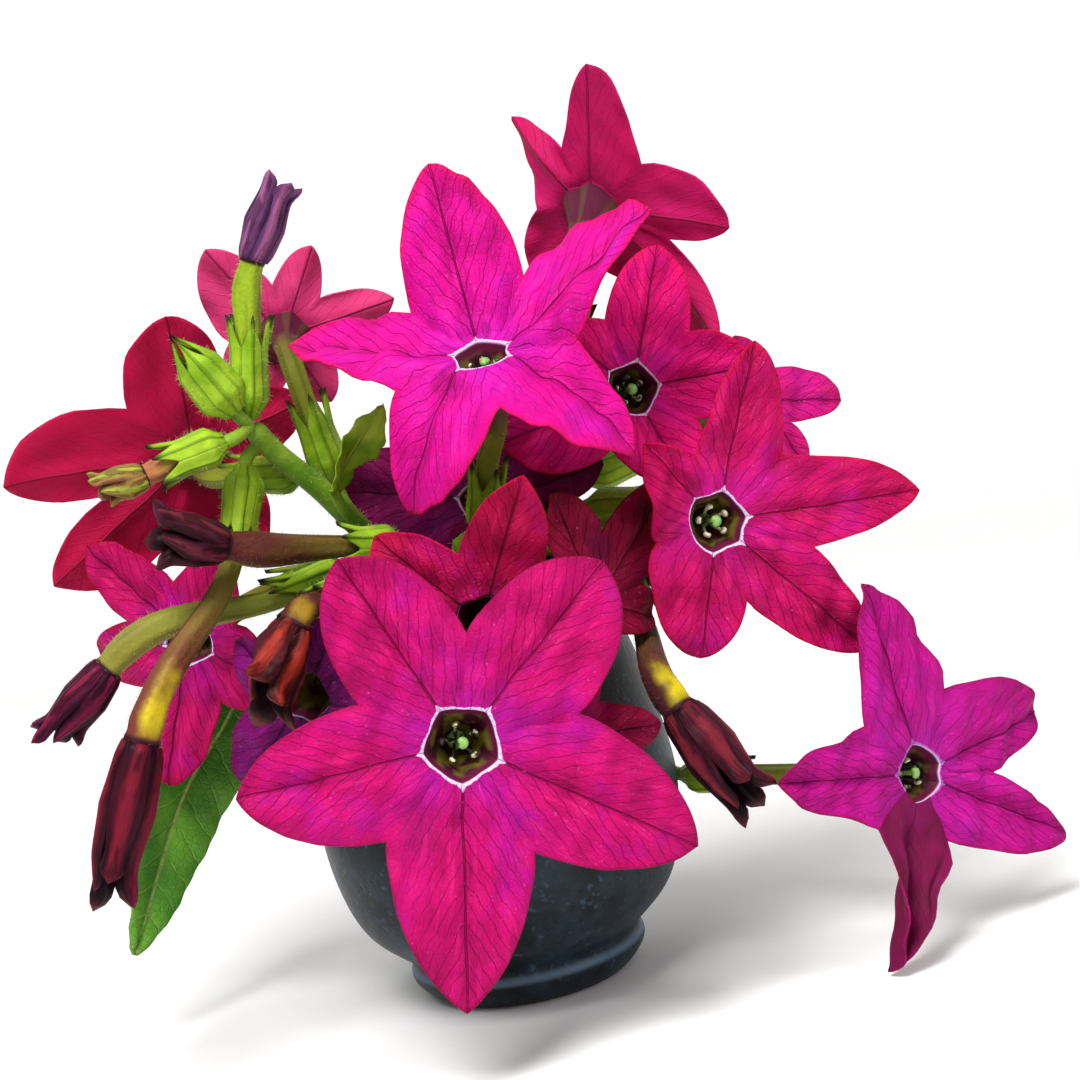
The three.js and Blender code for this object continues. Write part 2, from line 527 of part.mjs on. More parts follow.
const BLOOMS = [
  {
    name: 'front', spray: 'front_left', at: [-2, -42, 45.5], yaw: 8, pitch: 6, throat: 4.9, perLobe: 8,
    lobes: [
      [40, 30, 8, -10, { blunt: 2 }], [112, 29, 8, -10, { blunt: 2 }], [181, 30, 8, -14],
      [259, 35, 8, -10], [324, 34.5, 8, -14]],
    seat: [-13, -21.5, 61], toward: [0.3, -0.65, -0.7], via: [], length: 6, tooth: 3,
  },
  {
    name: 'upper', spray: 'middle', at: [10, -22, 92.5], yaw: -4, pitch: 66, throat: 3.6, perLobe: 6,
    lobes: [
      [98, 29, 48, 10], [163, 27.5, 12, -10], [222, 25, -20, -55], [336, 25.5, -15, -45, { sway: -1 }],
      [22, 30.5, 28, 0]],
    seat: [5.7, -7, 66.6], toward: [0.18, -0.45, 0.88], via: [],
  },
  {
    name: 'right', spray: 'right', at: [37, -20, 64], yaw: 12, pitch: 4, throat: 4, perLobe: 6,
    lobes: [
      [66, 25, 5, 0, { slim: 0.2 }], [122, 15, 20, -30, { fold: 0.5, slim: 0.3 }],
      [252, 19, 10, -25, { blunt: 2, slim: 0.15 }], [309, 28.5, 8, -15], [356, 29, 8, -10, { slim: 0.2 }]],
    seat: [20, -1, 66], toward: [0.85, -0.3, -0.05], via: [], tooth: 3,
  },
  {
    name: 'far_right', spray: 'far_right', at: [58, -22, 24.5], yaw: 38, pitch: 4, throat: 3.9, perLobe: 6,
    lobes: [
      [92, 27.5, 5, -15, { slim: 0.3 }], [166, 25, 5, -10, { slim: 0.35 }],
      [240, 27.5, 5, -10, { fold: 0.9, slim: 0.35 }], [325, 28, 12, -10, { slim: 0.25, fold: 0.3 }],
      [2, 27, 8, -20, { slim: 0.2, blunt: 2 }]],
    seat: [27.5, 9.5, 22.6], toward: [0.75, -0.65, 0], via: [[23, 17.5, 24.5]],
  },
  {
    name: 'upper_right', spray: 'right', at: [29.5, -8, 82.5], yaw: 10, pitch: 8, throat: 3.6, perLobe: 6,
    lobes: [
      [67, 20.5, 5, -10, { blunt: 2.4, notch: 0.6 }], [358, 17, 20, 10, { blunt: 2.2 }], [287, 15, 20, 20],
      [190, 20, 5, -15, { blunt: 2.2 }], [130, 13.5, 5, -10]],
    seat: [17.6, 3.6, 67.8], toward: [0.5, 0.1, 0.85], via: [], length: 7.5, tooth: 3,
  },
  {
    name: 'top', spray: 'right', at: [29, 0, 108], yaw: 160, pitch: 25, throat: 3.6, perLobe: 6,
    lobes: [
      [105, 22, 10, -10, { slim: 0.3 }], [54, 17, 20, 20, { fold: 0.7, slim: 0.4 }],
      [198, 20, 5, -20, { blunt: 2, slim: 0.1 }], [236, 28, 10, -60, { slim: 0.3, fold: 0.4 }],
      [320, 15, 10, -20]],
    seat: [20.5, 3.2, 85], toward: [0.28, -0.3, 0.91], via: [[15, 2.8, 66], [17, 5, 76]],
    length: 8, tooth: 3,
  },
  {
    name: 'right_back', spray: 'right', at: [46.5, 8, 75.5], yaw: 30, pitch: 15, throat: 3.5, perLobe: 4,
    lobes: [
      [348, 16.5, 5, -10], [300, 13, 10, -20], [215, 14, 10, -20], [150, 14, 5, -10], [80, 13, 5, -10]],
    seat: [21, 8, 69], toward: [0.9, 0.3, 0.15], via: [[15.5, 2.9, 66.3]],
  },
  {
    name: 'left_back', spray: 'upper_left', at: [-34, 12, 83], yaw: -165, pitch: 15, throat: 3.6, perLobe: 4,
    lobes: [
      [88, 21.5, 5, -10, { blunt: 2.2 }], [4, 28, 5, -10, { blunt: 2.2 }], [327, 28, 5, -10, { blunt: 2 }],
      [250, 20, 5, -10], [165, 18, 5, -10]],
    seat: [-18, -5, 79.3], toward: [-0.9, 0.3, 0.1], via: [[-17, -6.5, 78.5]], length: 7.5,
  },
  {
    name: 'left', spray: 'left', at: [-39, 2, 58], yaw: -20, pitch: 0, throat: 3.6, perLobe: 4,
    lobes: [
      [133, 21, 5, -20], [185, 20, 0, -40], [247, 23.5, 5, -10], [322, 17, 5, -10], [55, 14, 5, -10]],
    seat: [-15, 4, 63], toward: [-0.9, 0.3, -0.1], via: [[-12, -1.7, 63.5]],
  },
  {
    name: 'upper_left', spray: 'upper_left', at: [-18, 15, 97], yaw: -175, pitch: 5, throat: 3.5, perLobe: 4,
    lobes: [
      [60, 17, 5, -10], [118, 14, 5, -10], [172, 17, 5, -10], [245, 12, 5, -20], [310, 14, 5, -20]],
    seat: [-14, -1, 77], toward: [-0.15, 0.05, 0.98], via: [[-11.5, -2, 69.5]],
  },
  {
    name: 'middle', spray: 'middle', at: [3.5, -31, 58.5], yaw: 0, pitch: 0, throat: 3.6, perLobe: 4,
    lobes: [
      [65, 22, 15, 10], [131, 18.5, 5, -20], [240, 11, 5, -20], [290, 12, 5, -20], [345, 10.5, 5, 10]],
    seat: [3.5, -12, 66.5], toward: [0.05, -0.9, -0.35], via: [[1, -5.5, 60]], length: 6, tooth: 2.5,
  },
  {
    name: 'deep', spray: 'back', at: [6.5, -1.5, 70], yaw: -5, pitch: 25, throat: 3.6, perLobe: 4,
    lobes: [
      [164, 23, 0, -12, { blunt: 2.8, notch: 0.65 }], [232, 9.5, 5, -20], [312, 7.5, 5, -10],
      [3, 18.5, 28, -12, { blunt: 3, notch: 0.65 }], [88, 13, 20, -10]],
    seat: [5.2, 8.2, 57.5], toward: [0.05, -0.25, 0.97], via: [], length: 5, tooth: 2.5,
  },
  {
    name: 'inner_right', spray: 'front_right', at: [18.8, -24, 57], yaw: 35, pitch: 5, throat: 3.5,
    perLobe: 4,
    lobes: [
      [37, 21, 8, -12, { blunt: 2 }], [333, 11, 10, -20], [250, 8, 5, -10], [165, 7.5, 5, -20],
      [98, 12, 5, -10]],
    seat: [14, -6, 66], toward: [0.25, -0.8, -0.5], via: [[10, -9, 62.8]],
    length: 6, tooth: 2.5, slack: 0.2,
  },
  {
    name: 'low_left', spray: 'left', at: [-22, -24, 52], yaw: -25, pitch: -4, throat: 3.5, perLobe: 4,
    lobes: [
      [222, 20, 5, -20], [140, 13, 5, -20], [55, 13, 5, -10], [340, 12, 5, -10], [268, 16, 5, -20]],
    seat: [-16, -12.5, 62], toward: [-0.3, -0.25, -0.92], via: [[-11.5, -3, 63.5], [-14, -9, 65]],
    length: 6, tooth: 2.5,
  },
  {
    name: 'low_right', spray: 'front_right', at: [10.5, -35, 42], yaw: 12, pitch: -5, throat: 3.6, perLobe: 4,
    lobes: [
      [355, 14, 10, -10], [65, 14, 5, -10], [120, 12, 5, -10], [225, 14, 5, -10], [285, 20, 5, -10]],
    seat: [9.5, -20.5, 60], toward: [0, -0.4, -0.9], via: [], slack: 0.25,
  },
];

const BUDS = [
  {
    name: 'upright', spray: 'upper_left', seat: [-23.2, -11, 89], toward: [0.2, 0.04, 0.98], via: [],
    neck: [-18.6, -10, 109.5], heading: [0.5, 0, 0.85], tip: 12, width: 2.8, girth: 2.1, length: 10,
  },
  {
    name: 'pink', spray: 'upper_left', seat: [-26.5, -16, 87], toward: [-0.95, -0.2, -0.15], via: [],
    neck: [-37.5, -18.5, 85], heading: [-0.95, -0.25, -0.1], tip: 7, width: 2.5, girth: 1.8,
    length: 7, tooth: 3,
  },
  {
    name: 'hanging', spray: 'upper_left', seat: [-25, -9.5, 82.5], toward: [-0.3, -0.25, -0.92],
    via: [[-21.5, -9.5, 85.5]],
    neck: [-44, -28, 52], heading: [-0.4, -0.1, -0.9], tip: 23, width: 4, girth: 2.1,
  },
  {
    name: 'level', spray: 'left', seat: [-6, -10, 67.5], toward: [-0.93, -0.25, 0.2],
    via: [[-12, -1.8, 64], [-8.5, -5.5, 66]],
    neck: [-28.5, -20, 73.5], heading: [-0.85, -0.35, 0.4], tip: 10.5, width: 3.4, girth: 2.6,
    length: 6.5, tooth: 2.5,
  },
  {
    name: 'far_left', spray: 'left', seat: [-14, -6, 64.5], toward: [-0.9, -0.35, -0.1], via: [],
    neck: [-48, -17, 60], heading: [-0.75, -0.05, -0.65], tip: 13.5, width: 3.2, girth: 2.2,
  },
  {
    name: 'twisted', spray: 'front_left', seat: [-11.5, -19, 65], toward: [-0.75, -0.6, -0.1], via: [],
    neck: [-21, -29, 63], heading: [-0.55, -0.2, -0.8], tip: 12, width: 3.6, girth: 2,
    length: 6, tooth: 3,
  },
  {
    name: 'right', spray: 'front_right', seat: [22.5, -11.5, 62], toward: [0.2, -0.3, -0.93],
    via: [[10, -9, 62.8], [15, -6.5, 61.8], [19.5, -8, 64]], length: 8, tooth: 3,
    neck: [26.6, -29, 42], heading: [0.45, -0.3, -0.85], tip: 16.5, width: 3.9, girth: 2.2,
  },
];

const LEAVES = [
  {
    spray: 'left', width: 13, bulge: 1.3, face: [0.75, -0.35, 0.55],
    points: [
      [-23, 13, 59], [-31, 16, 51.5], [-37.5, 14.5, 43], [-45.5, 11, 34], [-51, 7, 24.5], [-56.5, 2, 13.5]],
    stalk: [[-12.5, -1.8, 64], [-14, 4, 67], [-18, 10, 64], [-24, 13.4, 58]],
  },
  {
    spray: 'upper_left', width: 8, bulge: 0.9, face: [0.3, -0.9, 0.3],
    points: [[-14, -7, 76], [-11.5, -9.5, 80], [-8, -11, 84], [-4.5, -12, 87.5]],
    stalk: [[-11, -3, 70], [-13, -6, 73], [-14, -7, 76.5]],
  },
  {
    spray: 'front_right', width: 7.5, bulge: 0.9, face: [0.3, -0.9, 0.3],
    points: [[27, -9.5, 62.5], [29.2, -11.5, 58], [31.2, -13.5, 53], [33, -15, 47.5]],
    stalk: [[19.5, -8, 64], [24, -8, 64.9], [27.3, -9.9, 61.8]],
  },
];

const toVec = (a) => vec(...a);
const GREEN = material(0x7f9a35, 0.6);
const MAGENTA = material(0xc0107a, 0.5);
const MAROON = material(0x5a1233, 0.6);
const skins = Object.fromEntries(Object.keys(SPRAYS).map((name) => [name, []]));

for (const [name, { stem: line, radius }] of Object.entries(SPRAYS)) {
  skins[name].push(stem(line.map(toVec), radius, radius * 0.8));
}

// A flower stalk from the spray's stem to the calyx, which it runs straight into
function addStalk({ spray, seat, toward, via, length, radius, tooth, closed }) {
  const line = SPRAYS[spray].stem.map(toVec);
  const axis = toVec(toward).normalize();
  const cup = toVec(seat);
  const start = via.length ? via.map(toVec) : [line.at(-1)];
  const entry = cup.clone().addScaledVector(axis, -1.2);
  const points = [...start, entry, cup.clone().addScaledVector(axis, 0.6)];
  skins[spray].push(stem(points, STALK_RADIUS, STALK_RADIUS * 1.2, STALK_SIDES, points.length + 1));
  skins[spray].push(calyx({ seat: cup, toward: axis, length, radius, tooth, closed }));
}

const placedBlooms = BLOOMS.map((bloom) => {
  const matrix = facing(bloom);
  const heading = vec(0, 0, -1).transformDirection(matrix);
  const start = toVec(bloom.at).addScaledVector(heading, THROAT_DEPTH + 1);
  const path = tubePath(start, heading, { ...bloom, seat: toVec(bloom.seat), toward: toVec(bloom.toward) });
  addStalk(bloom);
  return { ...bloom, matrix, path, lobes: bloom.lobes.map(lobe).sort((a, b) => a.angle - b.angle) };
});

BUDS.forEach(addStalk);
addStalk({
  spray: 'upper_left', seat: [-24.5, -13.5, 90.5], toward: [-0.45, -0.1, 0.85], via: [],
  length: 9, radius: 3.5, tooth: 4.5, closed: true,
});
for (const { spray, stalk, points, width, bulge, face } of LEAVES) {
  skins[spray].push(stem(stalk.map(toVec), STALK_RADIUS, STALK_RADIUS, STALK_SIDES));
  skins[spray].push(leaf({ points: points.map(toVec), width, bulge, face: toVec(face) }));
}

addMesh('pot', lathe(potProfile(), POT_SIDES), material(0x2a333c, 0.35));

const compostSide = potInside(CLEARANCE + 0.1).filter((p) => p.y < COMPOST_TOP).reverse();
const compostTop = [[16, 0], [10, 1], [5, -0.5], [0, 0.6]].map(([r, rise]) => (
  new THREE.Vector2(r, COMPOST_TOP + rise)));
const compostBody = toManifold(lathe([...compostSide, ...compostTop], POT_SIDES / 2));
const holes = Object.values(SPRAYS).map(({ stem: line, radius }) => {
  const [foot, neck] = line.map(toVec);
  const down = foot.clone().sub(neck).normalize();
  const wide = radius + CLEARANCE + STEM_HOLE_PLAY;
  const ends = [foot.clone().addScaledVector(down, CLEARANCE), neck.clone().addScaledVector(down, -4)];
  return toManifold(stem(ends, wide, wide).geometry());
});
addMesh('compost', fromManifold(holes.reduce((body, hole) => body.subtract(hole), compostBody)),
  material(0x3a2a1e, 0.95));

for (const [name, list] of Object.entries(skins)) addMesh(`spray_${name}`, fuse(list), GREEN);

for (const bloom of placedBlooms) {
  const mesh = addMesh(`bloom_${bloom.name}`, corolla(bloom).geometry(), MAGENTA);
  mesh.applyMatrix4(bloom.matrix);
}

for (const one of BUDS) {
  addMesh(`bud_${one.name}`, bud({
    ...one,
    seat: toVec(one.seat),
    toward: toVec(one.toward),
    neck: toVec(one.neck),
    heading: toVec(one.heading),
  }).geometry(), MAROON);
}

for (const bloom of placedBlooms.filter(({ perLobe }) => perLobe > 4)) {
  if (bloom.name !== 'top') addMesh(`stamens_${bloom.name}`, stamens(bloom), material(0xcfc58a, 0.7));
}

export default arrangement;
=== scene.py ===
# %% [markdown]
# # A potted flowering tobacco
# A small dark glazed pot holds short sprays of flowering tobacco: star-shaped crimson and magenta
# blooms, folded buds, hairy green cups and a few leaves. The solids of the plant are already built
# to size. This lesson dresses each of them with a finer skin, with veins, hairs and colours.
# Lengths are written in millimetres and turned into Blender's metres where a mesh is made.

# %% Load the measured solids
import math
import bmesh
import bpy
import numpy as np
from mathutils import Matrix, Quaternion, Vector

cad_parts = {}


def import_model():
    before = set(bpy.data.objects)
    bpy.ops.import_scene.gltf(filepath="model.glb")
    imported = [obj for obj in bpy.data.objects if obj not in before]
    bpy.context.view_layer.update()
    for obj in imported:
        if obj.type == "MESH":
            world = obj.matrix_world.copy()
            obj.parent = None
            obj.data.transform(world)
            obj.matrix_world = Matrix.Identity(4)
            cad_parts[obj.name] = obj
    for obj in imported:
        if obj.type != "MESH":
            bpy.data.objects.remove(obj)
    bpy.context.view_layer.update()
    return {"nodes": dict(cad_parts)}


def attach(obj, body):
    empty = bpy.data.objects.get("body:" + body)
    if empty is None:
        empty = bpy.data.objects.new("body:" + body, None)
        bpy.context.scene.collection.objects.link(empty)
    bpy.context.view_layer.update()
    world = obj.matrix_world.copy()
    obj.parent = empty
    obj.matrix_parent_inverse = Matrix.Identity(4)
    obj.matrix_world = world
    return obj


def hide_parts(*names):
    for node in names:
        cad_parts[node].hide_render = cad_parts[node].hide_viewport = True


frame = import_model()
MM = 0.001
print("solids:", len(frame["nodes"]))

# %% [markdown]
# ## Camera
# The plant is seen from a little above through a long lens, which keeps the near bloom from
# swelling. The lens is rolled, so the pot leans to the left in the picture while it stands upright
# on its floor. A camera looks down its own -Z axis, so it is first tipped up from the floor and then
# rolled about that axis.

# %% Camera
CAMERA_PLACE = (13.0, -421.54, 134.08)
CAMERA_DOWN = 9.6
CAMERA_ROLL = 11.0

scene = bpy.context.scene
camera = bpy.data.objects.new("camera", bpy.data.cameras.new("camera"))
camera.data.lens = 100.0
camera.data.sensor_width = 36.0
camera.data.clip_start = 0.01
camera.location = Vector(CAMERA_PLACE) * MM
camera.rotation_mode = "QUATERNION"
tip = Quaternion((1, 0, 0), math.radians(90 - CAMERA_DOWN))
roll = Quaternion((0, 0, 1), math.radians(-CAMERA_ROLL))
camera.rotation_quaternion = tip @ roll
scene.collection.objects.link(camera)
scene.camera = camera
scene.view_settings.view_transform = "Standard"
print("camera at", [round(x, 3) for x in camera.location])

# %% [markdown]
# ## A small language for node trees
# Petals, leaves and glaze are all patterns of numbers over a surface. Wiring them by hand is slow to
# read, so a node's output is wrapped in a class that takes part in sums: `1 - mask * 0.5` adds the
# two Math nodes it needs. Every other node comes from one method, which takes the node's type, its
# settings and the values or wires of its sockets.

# %% Wires and trees
def arithmetic(operation, swapped=False):
    def method(self, other):
        pair = (other, self) if swapped else (self, other)
        return self.tree.maths(operation, *pair)
    return method


class Wire:
    """A node's output, used in sums like a number"""

    __add__ = arithmetic("ADD")
    __radd__ = arithmetic("ADD")
    __sub__ = arithmetic("SUBTRACT")
    __rsub__ = arithmetic("SUBTRACT", True)
    __mul__ = arithmetic("MULTIPLY")
    __rmul__ = arithmetic("MULTIPLY")
    __truediv__ = arithmetic("DIVIDE")
    __rtruediv__ = arithmetic("DIVIDE", True)

    def __init__(self, tree, socket):
        self.tree = tree
        self.socket = socket

    def beside(self, name):
        return Wire(self.tree, self.socket.node.outputs[name])


class Tree:
    """A node tree that is being written"""

    def __init__(self, tree):
        self.tree = tree
        tree.nodes.clear()

    def node(self, kind, settings=None, inputs=None, out=0):
        made = self.tree.nodes.new(kind)
        for name, value in (settings or {}).items():
            setattr(made, name, value)
        for key, value in (inputs or {}).items():
            if isinstance(value, Wire):
                self.tree.links.new(value.socket, made.inputs[key])
            else:
                made.inputs[key].default_value = value
        return Wire(self, made.outputs[out]) if len(made.outputs) else made

    def maths(self, operation, *values):
        return self.node("ShaderNodeMath", {"operation": operation}, dict(enumerate(values)))

    def size(self, value):
        return self.maths("ABSOLUTE", value)

    def rise(self, value, low, high):
        """0 below low, 1 above high, and smooth between; falls where low is above high"""
        kind = {"interpolation_type": "SMOOTHSTEP"}
        return self.node("ShaderNodeMapRange", kind, {"Value": value, "From Min": low, "From Max": high})

    def mix(self, share, first, second):
        """Two colours mixed; the node's colour sockets are its inputs 6 and 7 and its output 2"""
        return self.node("ShaderNodeMix", {"data_type": "RGBA"}, {0: share, 6: first, 7: second}, out=2)

    def noise(self, place, scale, detail=2.0, rough=0.5):
        inputs = {"Vector": place, "Scale": scale, "Detail": detail, "Roughness": rough}
        return self.node("ShaderNodeTexNoise", None, inputs)

    def vector(self, x, y, z=0.0):
        return self.node("ShaderNodeCombineXYZ", None, {0: x, 1: y, 2: z})


print("wires and trees are ready")

# %% [markdown]
# ## Colours
# Shaders work in linear light, while a painter's code such as `c8007a` is written for a screen. One
# function turns the second into the first, so every colour below can be read off a colour chart.

# %% Colours and finishes
def colour(code):
    screen = [int(code[i:i + 2], 16) / 255 for i in (0, 2, 4)]
    linear = [c / 12.92 if c <= 0.04045 else ((c + 0.055) / 1.055) ** 2.4 for c in screen]
    return (*linear, 1.0)


def finish(name, paint):
    """A material whose look is written by paint(tree), which returns the shader's inputs"""
    made = bpy.data.materials.new(name)
    made.use_nodes = True
    tree = Tree(made.node_tree)
    shader = tree.node("ShaderNodeBsdfPrincipled", None, paint(tree))
    tree.node("ShaderNodeOutputMaterial", None, {"Surface": shader})
    return made


def own_place(tree):
    return tree.node("ShaderNodeTexCoord", out="Object")


def bump(tree, height, depth_mm):
    """A surface that seems raised by up to depth_mm where height is 1"""
    return tree.node("ShaderNodeBump", None, {"Height": height, "Distance": depth_mm * MM})


print("magenta in linear light:", [round(c, 3) for c in colour("d0007c")])

# %% [markdown]
# ## Floor and light
# The floor is one pale disc whose rim fades into a white screen behind it, so no horizon shows.
# A large soft panel high in front gives the light its direction, and a weaker one on the right
# keeps the folds between the petals readable.

# %% Floor and light
FLOOR_RADIUS = 0.5
FADE_FROM = 0.16
FADE_TO = 0.42
SCREEN_BEHIND = 0.75
SKY_STRENGTH = 0.33


def paint_floor(tree):
    place = own_place(tree)
    far = tree.node("ShaderNodeVectorMath", {"operation": "LENGTH"}, {0: place}, out="Value")
    grain = tree.noise(place, 900.0, 2.0)
    base = tree.mix(grain, colour("f7f6f5"), colour("fbfafa"))
    return {
        "Base Color": base,
        "Roughness": 0.7,
        "Specular IOR Level": 0.1,
        "Alpha": tree.rise(far, FADE_TO, FADE_FROM),
    }


disc = bmesh.new()
bmesh.ops.create_circle(disc, cap_ends=True, segments=96, radius=FLOOR_RADIUS)
floor_mesh = bpy.data.meshes.new("floor")
disc.to_mesh(floor_mesh)
disc.free()
floor_mesh.materials.append(finish("floor", paint_floor))
floor = bpy.data.objects.new("floor", floor_mesh)
scene.collection.objects.link(floor)

screen_mesh = bpy.data.meshes.new("screen")
screen_corners = [(-1, -1, 0), (1, -1, 0), (1, 1, 0), (-1, 1, 0)]
screen_mesh.from_pydata(screen_corners, [], [(0, 1, 2, 3)])
screen_look = {"Base Color": colour("000000"), "Emission Color": colour("ffffff"), "Emission Strength": 1.0}
screen_mesh.materials.append(finish("screen", lambda tree: screen_look))
screen = bpy.data.objects.new("screen", screen_mesh)
screen.rotation_euler = (math.radians(90 - CAMERA_DOWN), 0, 0)
screen.location = (0, SCREEN_BEHIND, 0)
scene.collection.objects.link(screen)

world = bpy.data.worlds.new("surroundings")
scene.world = world
world.use_nodes = True
sky = Tree(world.node_tree)
air = sky.node("ShaderNodeBackground", None, {"Color": colour("ffffff"), "Strength": SKY_STRENGTH})
sky.node("ShaderNodeOutputWorld", None, {"Surface": air})


def panel(name, place_mm, aim_mm, size, power):
    light = bpy.data.lights.new(name, "AREA")
    light.size = size
    light.energy = power
    holder = bpy.data.objects.new(name, light)
    holder.location = Vector(place_mm) * MM
    holder.rotation_euler = (Vector(aim_mm) - Vector(place_mm)).to_track_quat("-Z", "Y").to_euler()
    scene.collection.objects.link(holder)


panel("key", (-110, -300, 580), (5, 0, 50), 0.3, 5.2)
panel("fill", (420, -260, 260), (5, 0, 60), 0.4, 1.0)

# %% [markdown]
# ## Petals
# A petal of flowering tobacco is velvety. A dark vein runs down its middle, finer ones leave it at a
# sharp angle and branch into a net, purple gathers where two petals meet, and a thin crimson line
# follows the edge. All of this follows the petal and not the room, so each petal carries two maps:
# `flow` holds the distance across and along it, a hundredth for each millimetre, and `part` how near
# a point is to the side and to the tip. The back is duller and shows only its stronger veins, so it
# gets a finish of its own.

# %% Petal finishes
FLOW_SCALE = 0.01


def petal_coordinates(tree):
    """Millimetres across and along, then the nearness of the side and of the tip from 0 to 1"""
    flow = tree.node("ShaderNodeUVMap", {"uv_map": "flow"})
    part = tree.node("ShaderNodeUVMap", {"uv_map": "part"})
    split_flow = tree.node("ShaderNodeSeparateXYZ", None, {0: flow})
    split_part = tree.node("ShaderNodeSeparateXYZ", None, {0: part})
    across = (split_flow - 0.5) * (1 / FLOW_SCALE)
    along = split_flow.beside("Y") * (1 / FLOW_SCALE)
    side = tree.size(split_part * 2 - 1)
    reach = split_part.beside("Y")
    return across, along, side, reach


def vein_net(tree, across, along, seed):
    """The middle vein, the side veins and the net between them, each from 0 to 1"""
    drift = tree.noise(tree.vector(across * 0.3, along * 0.3, seed), 1.0, 3.0) - 0.5
    away = tree.size(across)
    middle = tree.rise(away + drift * 0.15, 0.26, 0.03)
    slant = (along - away * 1.5) / 2.7 + drift * 1.1 + seed
    sides = tree.rise(tree.size(tree.maths("FRACT", slant) - 0.5), 0.07, 0.0)
    sides = sides * tree.rise(away, 12.0, 4.0)
    steep = (along - away * 2.6) / 1.5 + drift * 2.2
    twigs = tree.rise(tree.size(tree.maths("FRACT", steep) - 0.5), 0.09, 0.0)
    twigs = twigs * tree.rise(tree.noise(tree.vector(across, along, seed), 0.5, 2.0), 0.4, 0.6)
    cells = {"Vector": tree.vector(across, along * 0.7, seed), "Scale": 1.15}
    cells = tree.node("ShaderNodeTexVoronoi", {"feature": "DISTANCE_TO_EDGE"}, cells)
    net = tree.maths("MAXIMUM", twigs * 0.8, tree.rise(cells, 0.1, 0.0) * 0.5)
    return middle, sides, net


def petal_front(name, face, shade, edge, vein, glow, seed, lip_and_throat_shade):
    """The velvety side: glow is how purple it gets near the throat, and the last colour is that of the
    throat's rim, a painted shade on blooms whose throat lies in shadow
    """
    # A lighter copy of the face colour, used as a painted highlight on the streaks below
    painted_highlight = [min(1.0, part * 1.35 + 0.012) for part in face[:3]] + [1.0]

    def paint(tree):
        across, along, side, reach = petal_coordinates(tree)
        middle, sides, net = vein_net(tree, across, along, seed)
        place = own_place(tree)
        cloud = tree.noise(place, 120.0, 4.0, 0.6)
        fuzz = tree.noise(place, 1900.0, 2.0)
        near_notch = tree.rise(side, 0.3, 1.0) * tree.rise(reach, 1.0, 0.3)
        purple = near_notch * 0.7 + tree.rise(cloud, 0.5, 0.72) * 0.7 + tree.rise(reach, 0.35, 0.0) * glow
        base = tree.mix(tree.maths("MINIMUM", purple, 1.0), face, shade)
        # Painted shade and painted highlight for a petal's soft relief: darker blotches, a wide darker band
        # along the sunk middle vein, and light streaks with darker ones between them
        base = tree.mix(tree.rise(cloud, 0.48, 0.3) * 0.5, base, vein)
        base = tree.mix(tree.rise(tree.size(across), 2.6, 0.0) * 0.3, base, vein)
        streak = tree.noise(tree.vector(across * 1.1 / (reach + 0.4), along * 0.1, seed), 1.0, 3.0)
        base = tree.mix(tree.rise(streak, 0.52, 0.72) * 0.5, base, painted_highlight)
        base = tree.mix(tree.rise(streak, 0.46, 0.3) * 0.35, base, vein)
        strong = middle * tree.rise(reach, 1.0, 0.75) * 0.8
        clear = tree.rise(tree.noise(place, 70.0, 2.0), 0.35, 0.65) * 0.75 + 0.25
        thread = tree.maths("MAXIMUM", sides * 0.32, net * 0.15) * tree.rise(reach, 1.0, 0.8) * clear
        base = tree.mix(tree.maths("MAXIMUM", strong, thread), base, vein)
        base = tree.mix(tree.rise(reach, 0.86, 1.0) * 0.35, base, edge)
        base = tree.mix(tree.rise(reach, 0.975, 1.0) * 0.6, base, edge)
        base = tree.mix(tree.rise(fuzz, 0.66, 0.8) * 0.25, base, colour("f080d8"))
        # The throat's rim is painted in its own colour; on three blooms that colour is dark, a painted shade
        # in a shadowed throat
        ragged = tree.noise(place, 1500.0, 3.0) * 0.02
        spur = tree.rise(tree.size(across), 0.45, 0.0) * 0.022
        ring = tree.rise(reach + ragged - spur, 0.03, 0.02)
        base = tree.mix(ring, base, colour(lip_and_throat_shade))
        relief = cloud * 0.9 + fuzz * 0.14 - middle * 0.8 - sides * 0.3 - net * 0.2
        return {
            "Base Color": base,
            "Roughness": 0.5 + fuzz * 0.25,
            "Specular IOR Level": 0.09,
            "Normal": bump(tree, relief, 0.45),
        }
    return finish(name, paint)


def petal_back(name, face, shade, vein, seed):
    def paint(tree):
        across, along, _, reach = petal_coordinates(tree)
        middle, sides, net = vein_net(tree, across, along, seed)
        place = own_place(tree)
        cloud = tree.noise(place, 130.0, 3.0)
        fuzz = tree.noise(place, 1700.0, 2.0)
        base = tree.mix(tree.rise(cloud, 0.2, 0.9), face, shade)
        base = tree.mix(tree.rise(reach, 0.3, 0.0) * 0.6, base, vein)
        threads = tree.maths("MAXIMUM", middle * 0.6, sides * 0.12)
        base = tree.mix(threads, base, vein)
        relief = middle * 0.9 + sides * 0.2 + net * 0.12 + cloud * 0.35 + fuzz * 0.2
        return {
            "Base Color": base,
            "Roughness": 0.5 + fuzz * 0.25,
            "Specular IOR Level": 0.12,
            "Normal": bump(tree, relief, 0.25),
        }
    return finish(name, paint)


print("petal finishes are ready")

# %% [markdown]
# ## Throat and tube
# Behind the star the corolla narrows into a throat, maroon inside with a green and yellow patch, and
# runs back as a long slim tube. The tube is purple brown near the petals and olive towards its cup.
# It is ribbed lengthwise, so both finishes read the `flow` map: how far round, and how far along.

